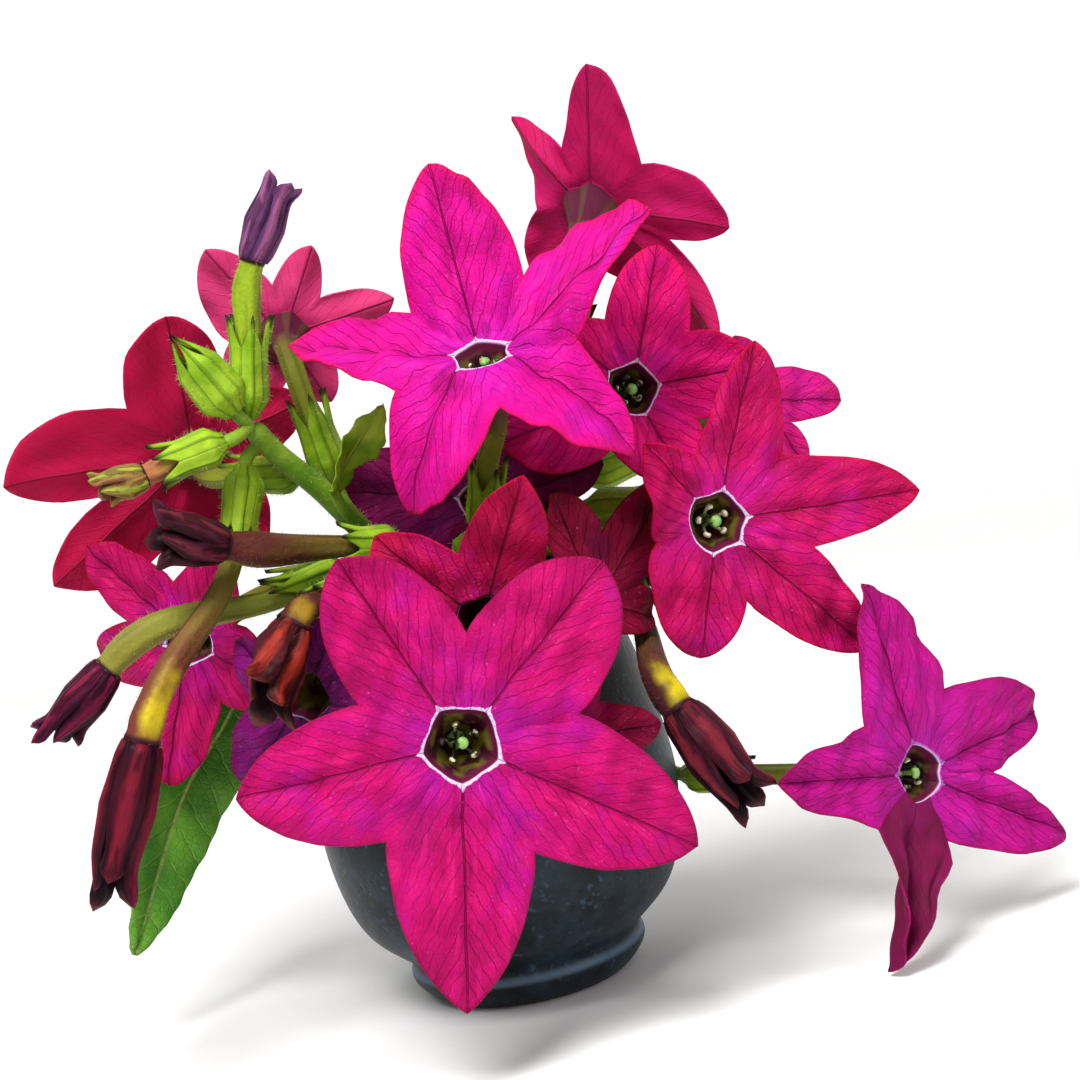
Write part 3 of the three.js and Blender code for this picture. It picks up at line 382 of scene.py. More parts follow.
# %% Throat and tube finishes
def paint_throat(tree):
    reach = petal_coordinates(tree)[3]
    place = own_place(tree)
    patch = tree.rise(tree.noise(place, 420.0, 2.0), 0.42, 0.62)
    base = tree.mix(patch, colour("3a0a1e"), colour("645c1a"))
    base = tree.mix(tree.rise(reach, 0.22, 0.34), colour("5a0c30"), base)
    base = tree.mix(tree.rise(reach, 0.09, 0.0), base, colour("d4b8e4"))
    return {"Base Color": base, "Roughness": 0.55, "Specular IOR Level": 0.2}


def paint_tube(tree):
    across, _, _, reach = petal_coordinates(tree)
    place = own_place(tree)
    ribs = tree.maths("SINE", across * (2 * math.pi))
    cloud = tree.noise(place, 260.0, 3.0)
    fine = tree.noise(place, 1500.0, 2.0)
    base = tree.mix(tree.rise(reach + cloud * 0.3 - 0.15, 0.26, 0.62), colour("50162e"), colour("7a8020"))
    base = tree.mix(tree.rise(reach + cloud * 0.3, 0.75, 1.05), base, colour("96a63a"))
    base = tree.mix(tree.rise(ribs, 0.2, 1.0) * 0.4, base, colour("4e4a1e"))
    return {
        "Base Color": base,
        "Roughness": 0.5 + fine * 0.2,
        "Specular IOR Level": 0.15,
        "Normal": bump(tree, ribs * 0.5 + fine * 0.6, 0.15),
    }


THROAT = finish("throat", paint_throat)
TUBE = finish("tube", paint_tube)
print("throat and tube:", THROAT.name, TUBE.name)

# %% [markdown]
# ## Green parts
# Stems, cups and leaves share one green but not one finish. A stem is clouded with lighter green, a
# cup is ribbed and has dark tips on its teeth, a leaf has a pale middle vein with side veins that
# slant towards the tip, and the small bract is yellower. The short hairs get two finishes: pale on
# green parts and brown on the dark buds.

# %% Green finishes
def paint_stem(tree):
    place = own_place(tree)
    cloud = tree.noise(place, 150.0, 3.0)
    fine = tree.noise(place, 1200.0, 2.0)
    base = tree.mix(tree.rise(cloud, 0.35, 0.7), colour("56861c"), colour("8fae30"))
    base = tree.mix(tree.rise(fine, 0.55, 0.8) * 0.35, base, colour("3f6a20"))
    return {
        "Base Color": base,
        "Roughness": 0.42 + fine * 0.2,
        "Specular IOR Level": 0.2,
        "Normal": bump(tree, fine + cloud, 0.12),
    }


def paint_cup(tree):
    _, _, side, reach = petal_coordinates(tree)
    place = own_place(tree)
    cloud = tree.noise(place, 240.0, 3.0)
    fine = tree.noise(place, 1400.0, 2.0)
    rib = tree.rise(side, 0.2, 0.0)
    seam = tree.rise(side, 0.86, 1.0)
    base = tree.mix(tree.rise(cloud, 0.3, 0.7), colour("6f960f"), colour("9dbf28"))
    base = tree.mix(rib * 0.5, base, colour("3c6410"))
    base = tree.mix(seam * 0.45, base, colour("5d7a28"))
    tip = tree.rise(reach, 0.82, 1.0) * tree.rise(side, 0.3, 0.08)
    base = tree.mix(tree.maths("MAXIMUM", tip, tree.rise(reach, 0.95, 1.0) * 0.35), base, colour("2a2010"))
    return {
        "Base Color": base,
        "Roughness": 0.45 + fine * 0.2,
        "Specular IOR Level": 0.2,
        "Normal": bump(tree, rib * 0.8 - seam * 0.6 + fine * 0.4, 0.25),
    }


def paint_leaf(tree):
    across, along, _, _ = petal_coordinates(tree)
    place = own_place(tree)
    away = tree.size(across)
    drift = tree.noise(tree.vector(across * 0.2, along * 0.2, 4.0), 1.0, 2.0) - 0.5
    middle = tree.rise(away, 0.55, 0.15)
    slant = (along - away * 0.9) / 4.6 + drift * 0.7
    sides = tree.rise(tree.size(tree.maths("FRACT", slant) - 0.5), 0.07, 0.0)
    cell = {"Vector": tree.vector(across, along, 0.0), "Scale": 0.9}
    net = tree.rise(tree.node("ShaderNodeTexVoronoi", {"feature": "DISTANCE_TO_EDGE"}, cell), 0.1, 0.0)
    cloud = tree.noise(place, 90.0, 3.0)
    base = tree.mix(tree.rise(cloud, 0.35, 0.7), colour("35741a"), colour("629a2a"))
    base = tree.mix(middle * 0.8, base, colour("a9c765"))
    base = tree.mix(sides * 0.45, base, colour("8fb653"))
    base = tree.mix(net * 0.18, base, colour("2c5c18"))
    relief = cloud * 0.5 - net * 0.2 - sides * 0.6 - middle
    return {
        "Base Color": base,
        "Roughness": 0.38 + cloud * 0.15,
        "Specular IOR Level": 0.25,
        "Normal": bump(tree, relief, 0.3),
    }


def paint_bract(tree):
    across = petal_coordinates(tree)[0]
    cloud = tree.noise(own_place(tree), 160.0, 3.0)
    middle = tree.rise(tree.size(across), 0.5, 0.1)
    base = tree.mix(tree.rise(cloud, 0.35, 0.7), colour("6c8c14"), colour("a4bc34"))
    base = tree.mix(middle * 0.6, base, colour("c4d05c"))
    return {
        "Base Color": base,
        "Roughness": 0.45,
        "Specular IOR Level": 0.2,
        "Normal": bump(tree, cloud - middle, 0.3),
    }


STEM = finish("stem", paint_stem)
BRACT = finish("bract", paint_bract)
CUP = finish("cup", paint_cup)
LEAF = finish("leaf", paint_leaf)
HAIR = finish("hair", lambda tree: {"Base Color": colour("b8c47c"), "Roughness": 0.6})
BROWN_HAIR = finish("brown_hair", lambda tree: {"Base Color": colour("8c6648"), "Roughness": 0.6})
print("greens:", STEM.name, CUP.name, LEAF.name, HAIR.name)

# %% [markdown]
# ## Skins
# Each piece is one closed skin sewn from grids: the front of five petals, their back, the throat,
# the tube. A skin keeps for each grid its finish, its two maps and how hairy it is. Where grids meet
# their edge points fall together, so merging doubles closes the seams, and after that the faces are
# turned outwards.

# %% Skins
SEAM = 0.004 * MM


def unit(v):
    return v / np.maximum(np.linalg.norm(v, axis=-1, keepdims=True), 1e-9)


def smooth(t):
    t = np.clip(t, 0, 1)
    return t * t * (3 - 2 * t)


def blend_between(a, b, share):
    return a + (b - a) * share


class Skin:
    """Grids of points sewn into one mesh"""

    def __init__(self, name):
        self.name = name
        self.looks = []
        self.blocks = []
        self.count = 0

    def grid(self, points, look, flow=None, part=None, hairy=0.0, turn=False):
        """Adds rows of points; turn swaps the side that its faces show"""
        rows, columns = points.shape[:2]
        corner = np.arange(rows * columns).reshape(rows, columns)
        faces = np.stack([corner[:-1, :-1], corner[:-1, 1:], corner[1:, 1:], corner[1:, :-1]], -1)
        faces = faces.reshape(-1, 4)[:, ::-1 if turn else 1]
        maps = np.zeros((2, rows, columns, 2))
        for filled, values in zip(maps, (flow, part)):
            if values is not None:
                filled[..., 0], filled[..., 1] = values
        hair = np.broadcast_to(hairy, (rows, columns)).reshape(-1)
        self.add(points.reshape(-1, 3), faces, look, maps.reshape(2, -1, 2), hair)

    def add(self, points, faces, look, maps, hair):
        """Adds faces between points of their own"""
        if look not in self.looks:
            self.looks.append(look)
        self.blocks.append((points, faces + self.count, maps, hair, self.looks.index(look)))
        self.count += len(points)

    def mesh(self):
        """All grids in one mesh, their seams merged and their faces turned outwards"""
        points = np.concatenate([b[0] for b in self.blocks]) * MM
        faces = np.concatenate([b[1] for b in self.blocks])
        mesh = bpy.data.meshes.new(self.name)
        mesh.from_pydata(points, [], faces.tolist())
        corners = np.empty(len(mesh.loops), np.int32)
        mesh.loops.foreach_get("vertex_index", corners)
        for i, key in enumerate(("flow", "part")):
            values = np.concatenate([b[2][i] for b in self.blocks])
            mesh.uv_layers.new(name=key).data.foreach_set("uv", values[corners].ravel())
        hair = np.concatenate([b[3] for b in self.blocks]).astype(np.float32)
        mesh.attributes.new("hairy", "FLOAT", "POINT").data.foreach_set("value", hair)
        look = np.concatenate([np.full(len(b[1]), b[4]) for b in self.blocks]).astype(np.int32)
        mesh.polygons.foreach_set("material_index", look)
        mesh.polygons.foreach_set("use_smooth", np.ones(len(faces), bool))
        for one in self.looks:
            mesh.materials.append(one)
        work = bmesh.new()
        work.from_mesh(mesh)
        bmesh.ops.remove_doubles(work, verts=work.verts, dist=SEAM)
        bmesh.ops.recalc_face_normals(work, faces=work.faces)
        work.to_mesh(mesh)
        work.free()
        return mesh


print("skins are ready")

# %% [markdown]
# ## Paths
# Stems and tubes follow smooth lines through a few given points. A line carries a right and an up
# direction along it without twisting, so rings of points set round it make an even tube.

# %% Paths
def path_length(line):
    """How far along the line each of its points is"""
    return np.concatenate([[0], np.cumsum(np.linalg.norm(np.diff(line, axis=0), axis=1))])


def spaced(line, step_mm):
    """The same line with its points at even steps"""
    gone = path_length(line)
    wanted = np.linspace(0, gone[-1], max(3, int(round(gone[-1] / step_mm)) + 1))
    return np.stack([np.interp(wanted, gone, line[:, k]) for k in range(3)], -1)


def curve_points(points, step_mm):
    """Evenly spaced points on a smooth curve through the given ones"""
    p = np.array(points, float)
    ends = np.concatenate([[2 * p[0] - p[1]], p, [2 * p[-1] - p[-2]]])
    knots = np.concatenate([[0], np.cumsum(np.linalg.norm(np.diff(ends, axis=0), axis=1) ** 0.5)])
    line = []
    for i in range(1, len(ends) - 2):
        t0, t1, t2, t3 = knots[i - 1:i + 3]
        p0, p1, p2, p3 = ends[i - 1:i + 3]
        t = np.linspace(t1, t2, 24)[:, None]

        def mixed(a, b, start, stop):
            return blend_between(a, b, (t - start) / (stop - start))

        before, here, after = mixed(p0, p1, t0, t1), mixed(p1, p2, t1, t2), mixed(p2, p3, t2, t3)
        line.append(mixed(mixed(before, here, t0, t2), mixed(here, after, t1, t3), t1, t2))
    return spaced(np.concatenate(line), step_mm)


def carried_frames(line, side):
    """Axis, right and up at each point of a line, carried along without twist"""
    axes, rights = [], []
    axis = Vector(line[1] - line[0]).normalized()
    right = Vector(side)
    right = (right - axis * right.dot(axis)).normalized()
    for i in range(len(line)):
        ahead = Vector(line[min(i + 1, len(line) - 1)] - line[max(i - 1, 0)]).normalized()
        right.rotate(axis.rotation_difference(ahead))
        right = (right - ahead * right.dot(ahead)).normalized()
        axis = ahead
        axes.append(axis[:])
        rights.append(right[:])
    axes, rights = np.array(axes), np.array(rights)
    return axes, rights, np.cross(axes, rights)


def any_side(line):
    """A direction that is well away from the line's own"""
    axis = unit(line[1] - line[0])
    return (1, 0, 0) if abs(axis[0]) < 0.8 else (0, 1, 0)


steps = np.diff(curve_points([(0, 0, 0), (10, 0, 5), (20, 5, 5)], 5.0), axis=0)
print("curve check, mm apart:", np.round(np.linalg.norm(steps, axis=1), 2))

# %% [markdown]
# ## Rings
# A tube, a neck or a finger is a row of rings along a line. These helpers set points round the line,
# repeat the first column so that a ring closes, and draw an end together in one point, because an
# open end would show the inside of the skin.

# %% Rings
def rings_along(line, frames, angles, radius):
    """Rows of points round a line; radius is one number, one a row, or one a point"""
    radius = np.asarray(radius, float)
    if radius.ndim < 2:
        radius = np.broadcast_to(radius.reshape(-1, 1), (len(line), len(angles)))
    _, right, up = frames
    spin = np.asarray(angles)[None, :, None]
    return line[:, None] + radius[..., None] * (right[:, None] * np.cos(spin) + up[:, None] * np.sin(spin))


def full_turn(count):
    """Angles round a circle, the last on top of the first"""
    return np.linspace(0, 2 * math.pi, count + 1)


def closing_point(ring, point, steps=3):
    """Rows from a ring to its middle point, which close an end"""
    share = np.linspace(0, 1, steps + 1)[:, None, None]
    return ring[None] * (1 - share) + np.asarray(point)[None, None] * share


def capped(rows, first, last):
    """A tube's rows with a point at both ends"""
    ends = [np.broadcast_to(point, rows[:1].shape) for point in (first, last)]
    return np.concatenate([ends[0], rows, ends[1]])


def closed_ring(rows):
    """Rows with their first column repeated at the end"""
    return np.concatenate([rows, rows[:, :1]], axis=1)


def round_and_along(rows):
    """How far round and how far along each point lies, from 0 to 1"""
    along, around = np.linspace(0, 1, rows.shape[0])[:, None], np.linspace(0, 1, rows.shape[1])
    return np.broadcast_to(around, rows.shape[:2]), np.broadcast_to(along, rows.shape[:2])


def wire_mesh(name, points):
    """Points joined by edges, for a tree that reads a line"""
    wire = bpy.data.meshes.new(name)
    wire.from_pydata(points, [(i, i + 1) for i in range(len(points) - 1)], [])
    return wire


print("angles of a ring of six:", np.round(full_turn(6), 2))

# %% [markdown]
# ## Geometry trees
# Some shapes follow a rule that Geometry Nodes state well: scatter, sweep, turn, repeat. A tree gets
# named inputs here, reads what the mesh keeps for each point, and is baked at once into a plain
# mesh. Nothing is then left to be worked out later, and every piece can be exported.

# %% Geometry trees
class Shaper(Tree):
    """A geometry tree with named inputs, which is baked into a plain mesh"""

    def __init__(self, name, **sockets):
        group = bpy.data.node_groups.new(name, "GeometryNodeTree")
        super().__init__(group)
        kinds = {float: "NodeSocketFloat", int: "NodeSocketInt", tuple: "NodeSocketVector"}
        group.interface.new_socket("Geometry", in_out="INPUT", socket_type="NodeSocketGeometry")
        for key, value in sockets.items():
            made = group.interface.new_socket(key, in_out="INPUT", socket_type=kinds[type(value)])
            made.default_value = value
        group.interface.new_socket("Geometry", in_out="OUTPUT", socket_type="NodeSocketGeometry")
        self.entry = group.nodes.new("NodeGroupInput")
        self.shape = Wire(self, self.entry.outputs[0])

    def given(self, name):
        """One of the tree's named inputs"""
        return Wire(self, self.entry.outputs[name])

    def attribute(self, name):
        """A value that the mesh keeps for each point"""
        return self.node("GeometryNodeInputNamedAttribute", {"data_type": "FLOAT"}, {"Name": name})

    def joined(self, *shapes):
        joint = self.tree.nodes.new("GeometryNodeJoinGeometry")
        for shape in shapes:
            self.tree.links.new(shape.socket, joint.inputs[0])
        return Wire(self, joint.outputs[0])

    def chance(self, low, high, seed):
        """A random number for each point, or three of them where low and high are triples"""
        kind, first, out = ("FLOAT_VECTOR", 0, 0) if isinstance(low, tuple) else ("FLOAT", 2, 1)
        inputs = {first: low, first + 1: high, "Seed": seed}
        return self.node("FunctionNodeRandomValue", {"data_type": kind}, inputs, out)

    def done(self, shape, look=None):
        """Makes instances real, gives them their material and ends the tree"""
        real = self.node("GeometryNodeRealizeInstances", None, {0: shape})
        if look:
            real = self.node("GeometryNodeSetMaterial", None, {0: real, "Material": look})
        last = self.tree.nodes.new("NodeGroupOutput")
        self.tree.links.new(real.socket, last.inputs[0])

    def bake(self, mesh, **values):
        """The mesh that the tree makes of another mesh"""
        carrier = bpy.data.objects.new("carrier", mesh)
        scene.collection.objects.link(carrier)
        modifier = carrier.modifiers.new("shape", "NODES")
        modifier.node_group = self.tree
        for item in self.tree.interface.items_tree:
            if item.in_out == "INPUT" and item.name in values:
                modifier[item.identifier] = values[item.name]
        found = carrier.evaluated_get(bpy.context.evaluated_depsgraph_get())
        baked = bpy.data.meshes.new_from_object(found)
        bpy.data.objects.remove(carrier)
        return baked


print("geometry trees are ready")

# %% [markdown]
# ## Hairs
# Tobacco is sticky to the touch: its stems, cups and tubes carry short glandular hairs. Each hair is
# a slim three-sided spike. Geometry Nodes scatters points over the skin, more of them where the
# `hairy` value is high, stands a spike on each and gives it a length and a lean of its own from a
# fixed seed. The spikes are made real and joined to the skin, so the piece stays one plain mesh.

# %% Hairs by Geometry Nodes
HAIR_FOOT = 0.024 * MM
PER_SQUARE_MM = 1e6


def hair_tree():
    tree = Shaper("hairs", Density=1.2, Length=0.8, Seed=3)
    thick = tree.given("Density") * PER_SQUARE_MM * tree.attribute("hairy")
    spread = {"Mesh": tree.shape, "Density": thick, "Seed": tree.given("Seed")}
    points = tree.node("GeometryNodeDistributePointsOnFaces", None, spread)
    cone = {"Vertices": 3, "Radius Top": 0.0, "Radius Bottom": HAIR_FOOT, "Depth": MM}
    spike = tree.node("GeometryNodeMeshCone", {"fill_type": "NONE"}, cone)
    lean = tree.chance((-0.5, -0.5, 0.0), (0.5, 0.5, 6.3), 5)
    lean = {"Rotation": points.beside("Rotation"), "Rotate By": lean}
    turned = tree.node("FunctionNodeRotateRotation", {"rotation_space": "LOCAL"}, lean)
    high = tree.given("Length") * tree.chance(0.5, 1.25, 9)
    high = tree.vector(1.0, 1.0, high)
    standing = {"Points": points, "Instance": spike, "Rotation": turned, "Scale": high}
    standing = tree.node("GeometryNodeInstanceOnPoints", None, standing)
    real = tree.node("GeometryNodeRealizeInstances", None, {0: standing})
    coloured = tree.node("GeometryNodeSetMaterial", None, {0: real, "Material": HAIR})
    tree.done(tree.joined(tree.shape, coloured))
    return tree


HAIRS = hair_tree()
print("hair inputs:", [item.name for item in HAIRS.tree.interface.items_tree if item.in_out == "INPUT"])

# %% [markdown]
# ## Placing a piece
# A finished skin becomes an object at the origin. It rides on the plant's one body and takes the place
# of its rough solid. Hairs are added here too, so each piece gets a scatter of its own.

# %% Placing a piece
pieces = {}


def place_piece(mesh, name, node, hair=None, hair_look=None):
    """Puts a finished mesh in the scene; hair is how many a square millimetre and their length"""
    if hair:
        mesh = HAIRS.bake(mesh, Density=hair[0], Length=hair[1], Seed=len(pieces))
        mesh.materials[mesh.materials.find(HAIR.name)] = hair_look or HAIR
    mesh.name = name
    piece = bpy.data.objects.new(name, mesh)
    scene.collection.objects.link(piece)
    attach(piece, "root")
    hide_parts(node)
    pieces[name] = piece
    return piece


print("pieces placed so far:", len(pieces))

# %% [markdown]
# ## The shape of a lobe
# A flower's star has five lobes that part at notches. Bending a flat petal with modifiers is hard to
# steer, so a lobe is laid out flat in polar form and each point is carried, by one formula, onto a
# strip that rises from the throat, bends along its middle vein and may fold like a gutter.

# %% One lobe
LOBE_HABIT = {"blunt": 1.5, "point": 0.12, "fold": 0.0, "sway": 0.0, "notch": 0.5, "slim": 0.1}


def lobe(angle, length, rise, bend, **habit):
    """A petal: where it points, how long it is, how steeply it leaves the throat, how it bends back"""
    return {**LOBE_HABIT, "angle": angle, "length": length, "rise": rise, "bend": bend, **habit}


def carry(one, throat, r, angle, crease):
    """Where a flat polar point goes on a lobe's own rising and bending strip"""
    off = np.radians(angle - one["angle"])
    along, width = r * np.cos(off), r * np.sin(off)
    span = one["length"] - throat
    rise = math.radians(one["rise"])
    curl = math.radians(one["bend"]) / span or 1e-6
    turn = rise + curl * (along - throat)
    out = throat + (np.sin(turn) - math.sin(rise)) / curl
    lift = (math.cos(rise) - np.cos(turn)) / curl
    far = np.clip((along - throat) / span, 0, 1)
    slim = width * (1 - one["slim"] * smooth(2 * far))
    fold = one["fold"] * far * np.abs(slim) - crease
    side = slim * np.cos(one["fold"] * far) + one["sway"] * far ** 2
    out = out - fold * np.sin(turn)
    c, s = math.cos(math.radians(one["angle"])), math.sin(math.radians(one["angle"]))
    return np.stack([out * c - side * s, out * s + side * c, lift + fold * np.cos(turn)], -1)


print("a lobe's tip rises to, mm:", np.round(carry(lobe(0, 30, 8, -10), 4.9, 30.0, 0.0, 0.0), 1))

# %% [markdown]
# ## From five lobes to one sheet
# A lobe alone would leave a slit beside its neighbour. So its columns run from one notch to the next,
# two neighbours share their shape near a notch, and the finer forms run on across it: a sunk middle
# vein, a pleat at each notch, puckers between the veins and a waved margin.

# %% One bloom's sheet
def notch_places(lobes):
    """For each lobe the half angle to the next one, and how far out the notch between them is"""
    places = []
    for one, after in zip(lobes, lobes[1:] + lobes[:1]):
        turn = (after["angle"] - one["angle"]) % 360
        places.append((turn / 2, one["notch"] * (one["length"] + after["length"]) / 2))
    return places


def pucker_and_wave(r, theta, grown, u, seed, pucker_high):
    """Puckers between the veins and a wave along the margin, in millimetres"""
    x, y = r * np.cos(theta), r * np.sin(theta)
    pucker = np.sin(0.55 * x + 0.3 * y + seed) * np.cos(0.5 * y - 0.2 * x + 2 * seed)
    pucker = pucker + 0.5 * np.sin(1.2 * x - 0.7 * y + 3 * seed)
    wave = np.sin(13 * theta + seed) * np.sin(0.4 * r + seed)
    return grown * (pucker_high * pucker + 0.6 * u ** 3 * wave)


def bloom_sheet(throat, lobes, fine, seed, pucker_high=0.5):
    """Each lobe's middle surface and maps: rows go outwards, columns round the bloom"""
    columns, rows = fine
    t = np.linspace(-1, 1, columns + 1)
    s = np.sign(t) * np.abs(t) ** 1.25
    inner = 1 - np.abs(s)
    u = np.linspace(0, 1, rows + 1)[:, None]
    notches = notch_places(lobes)
    parts, maps = [], []
    for k, one in enumerate(lobes):
        half = np.where(s < 0, notches[k - 1][0], notches[k][0])
        gap = np.where(s < 0, notches[k - 1][1], notches[k][1])
        tip = (1 - one["point"]) * (1 - np.abs(s) ** one["blunt"]) + one["point"] * inner ** 3
        angle, off = one["angle"] + s * half, np.radians(s * half)
        mouth = throat * (0.93 + 0.14 * inner ** 1.5)
        r = mouth + (gap + (one["length"] - gap) * tip - mouth) * u
        across, along = r * np.sin(off), r * np.cos(off)
        grown = smooth((r - mouth) / 5)
        crease = grown * (0.75 * np.exp(-(across / 1.5) ** 2) + 0.5 * np.exp(-(inner / 0.12) ** 2))
        own, left, right = (carry(lobes[i % 5], throat, r, angle, crease) for i in (k, k - 1, k + 1))
        share = 0.5 * np.abs(s) ** 4 * (1 - smooth((r / gap - 1) / 0.6))
        shaped = blend_between(own, np.where((s < 0)[:, None], left, right), share[..., None])
        theta = np.radians(angle)
        plain = np.stack([r * np.cos(theta), r * np.sin(theta), 0 * r], -1)
        sheet = blend_between(plain, shaped, smooth((r - mouth) / 3)[..., None])
        sheet[..., 2] += pucker_and_wave(r, theta, grown, u, seed, pucker_high)
        parts.append(sheet)
        maps.append((across, along, *np.broadcast_arrays(s, u)))
    return parts, maps


def sheet_normals(ring):
    across = np.roll(ring, -1, 1) - np.roll(ring, 1, 1)
    out = np.gradient(ring, axis=0)
    return unit(np.cross(out, across))


fine_sheet, _ = bloom_sheet(4.9, [lobe(72 * k, 30, 8, -10) for k in range(5)], (8, 6), 1.0)
print("a test lobe's grid:", fine_sheet[0].shape)

# %% [markdown]
# ## The way of a tube
# A bloom looks at the viewer, then turns and tips. Its long tube leaves it straight backwards and
# enters the cup along the cup's own axis, so a curve with these two directions at its ends will do.

# %% Way of a tube
def bloom_frame(yaw, pitch):
    """Right, up and forwards of a bloom that looks at the viewer, then turns and tips"""
    yaw, pitch = math.radians(yaw), math.radians(pitch)
    n = np.array([math.sin(yaw) * math.cos(pitch), -math.cos(yaw) * math.cos(pitch), math.sin(pitch)])
    up = unit(np.array([0, 0, 1.0]) - n * n[2])
    return np.stack([np.cross(up, n), up, n])


def tube_line(start, heading, seat, toward, slack=0.4, length=8.5, step=1.6):
    """From behind a flower to its seat in the cup"""
    axis, back = unit(np.array(toward, float)), unit(np.array(heading, float))
    seat = np.array(seat, float)
    mouth, base = seat + axis * (length + 1), seat + axis * 2.3
    reach = np.linalg.norm(start - mouth) * slack
    t = np.linspace(0, 1, 60)[:, None]
    a, b = start + back * reach, mouth + axis * reach
    bend = (1 - t) ** 3 * start + 3 * t * (1 - t) ** 2 * a + 3 * t * t * (1 - t) * b + t ** 3 * mouth
    return spaced(np.concatenate([bend, np.linspace(mouth, base, 6)[1:]]), step)


print("points on a tube's way:", len(tube_line(np.zeros(3), (0, 1, 0), (0, 20, -8), (0, -1, 0.5))))

# %% [markdown]
# ## Sewing a corolla
# The sheet gets a front and a back face with a rounded rim. Inside, the throat narrows to its floor.
# Outside, the back runs into the neck and the neck into the tube. Each is a grid of its own, which
# keeps its maps simple, and the grids meet in shared points, which closes the skin.

# %% Corolla
PETAL_THICK = 0.6
RIM_THICK = 0.32
THROAT_DEPTH = 6.5
TUBE_RADIUS = 1.5
# How wide the throat and the neck still are, as a share of the mouth, and how deep in millimetres
PIT = [(0.955, 0.35), (0.88, 1.0), (0.74, 2.2), (0.6, 3.8), (0.47, 5.4), (0.4, 6.5), (0.2, 6.6)]
NECK = [(0.97, 0.7), (0.92, 1.3), (0.78, 2.4), (0.62, 3.9), (0.48, 5.4), (0.4, 6.5)]


def sew_petals(skin, world, ring, lobes, maps, columns, front, back):
    """Front, back and rounded rim of the star; gives their innermost rows"""
    normal = sheet_normals(ring)
    if normal[2, :, 2].mean() < 0:
        normal = -normal
    u = np.linspace(0, 1, ring.shape[0])[:, None, None]
    thick = blend_between(PETAL_THICK, RIM_THICK, smooth(u * 1.4))
    over, under = ring + normal * thick / 2, ring - normal * thick / 2
    outward = unit(ring[-1] - ring[-2])
    rim = np.stack([over[-1], ring[-1] + outward * RIM_THICK * 0.45, under[-1]])
    for k, (across, along, s, reach) in enumerate(maps):
        wedge = slice(k * columns, (k + 1) * columns + 1)
        flow, part = (0.5 + across * FLOW_SCALE, along * FLOW_SCALE), (0.5 + s / 2, reach)
        face = back if lobes[k].get("turned") else front
        skin.grid(world(closed_ring(over)[:, wedge]), face, flow, part)
        skin.grid(world(closed_ring(under)[:, wedge]), back, flow, part, turn=True)
        skin.grid(world(closed_ring(rim)[:, wedge]), front, (flow[0][-1], flow[1][-1]), (part[0][-1], 1))
    return over[0], under[0]


def sew_throat(skin, world, mouth):
    """The pit in the middle, which narrows to a closed floor"""
    rows = [mouth]
    for share, deep in PIT:
        rows.append(np.column_stack([mouth[:, :2] * share, np.full(len(mouth), -deep)]))
    rows.append(np.broadcast_to([0, 0, -THROAT_DEPTH], mouth.shape))
    pit = closed_ring(np.stack(rows))
    skin.grid(world(pit), THROAT, round_and_along(pit), round_and_along(pit))


def sew_tube(skin, world, mouth, line, throat):
    """The outside of the neck and the ribbed tube that runs on from it"""
    radius = np.linalg.norm(mouth[:, :2], axis=1)
    theta = np.arctan2(mouth[:, 1], mouth[:, 0])
    rows = [mouth]
    for share, deep in NECK:
        wide = np.maximum(radius * share + 0.6 * min(1, deep / 1.3), TUBE_RADIUS)
        rows.append(np.column_stack([wide * np.cos(theta), wide * np.sin(theta), np.full(len(theta), -deep)]))
    frames = [part[1:] for part in carried_frames(line, (1, 0, 0))]
    line = line[1:]
    gone = 1 + path_length(line)
    wide = TUBE_RADIUS + (throat * 0.4 + 0.6 - TUBE_RADIUS) * np.exp(-gone / 4)
    wide = np.minimum(wide, 0.9 + 0.6 * (gone[-1] - gone) / 1.5)
    tube = rings_along(line, frames, -theta, wide[:, None] * (1 + 0.05 * np.cos(5 * theta)))
    full = closed_ring(np.concatenate([rows, tube, closing_point(tube[-1], line[-1], 1)[1:]]))
    turn, reach = round_and_along(full)
    hair = smooth((np.arange(len(full)) - 6) / 5)[:, None]
    skin.grid(world(full), TUBE, (0.5 + turn * 5 * FLOW_SCALE, reach), (turn, reach), hairy=hair, turn=True)


def corolla(name, front, back, at, yaw, pitch, throat, lobes, seed, fine=(28, 28), pucker_high=0.5, **tube):
    skin = Skin(name)
    axes = bloom_frame(yaw, pitch)
    at = np.array(at, float)

    def world(points):
        return points @ axes + at

    parts, maps = bloom_sheet(throat, lobes, fine, seed, pucker_high)
    ring = np.concatenate([part[:, :-1] for part in parts], axis=1)
    inner, outer = sew_petals(skin, world, ring, lobes, maps, fine[0], front, back)
    sew_throat(skin, world, inner)
    line = tube_line(at - axes[2] * (THROAT_DEPTH + 1), -axes[2], **tube)
    line = np.concatenate([[(0, 0, -THROAT_DEPTH)], (line - at) @ axes.T])
    sew_tube(skin, world, outer, line, throat)
    return skin.mesh()


print("corollas are ready")

# %% [markdown]
# ## Colours of the blooms
# No two blooms of a cluster have the same red. Open ones are magenta with purple in the notches,
# others crimson, and those deep in the cluster are painted nearly maroon as shade. A back takes the
# colour of its bloom's edge, except on the one whose folded lobe shows a much darker back.

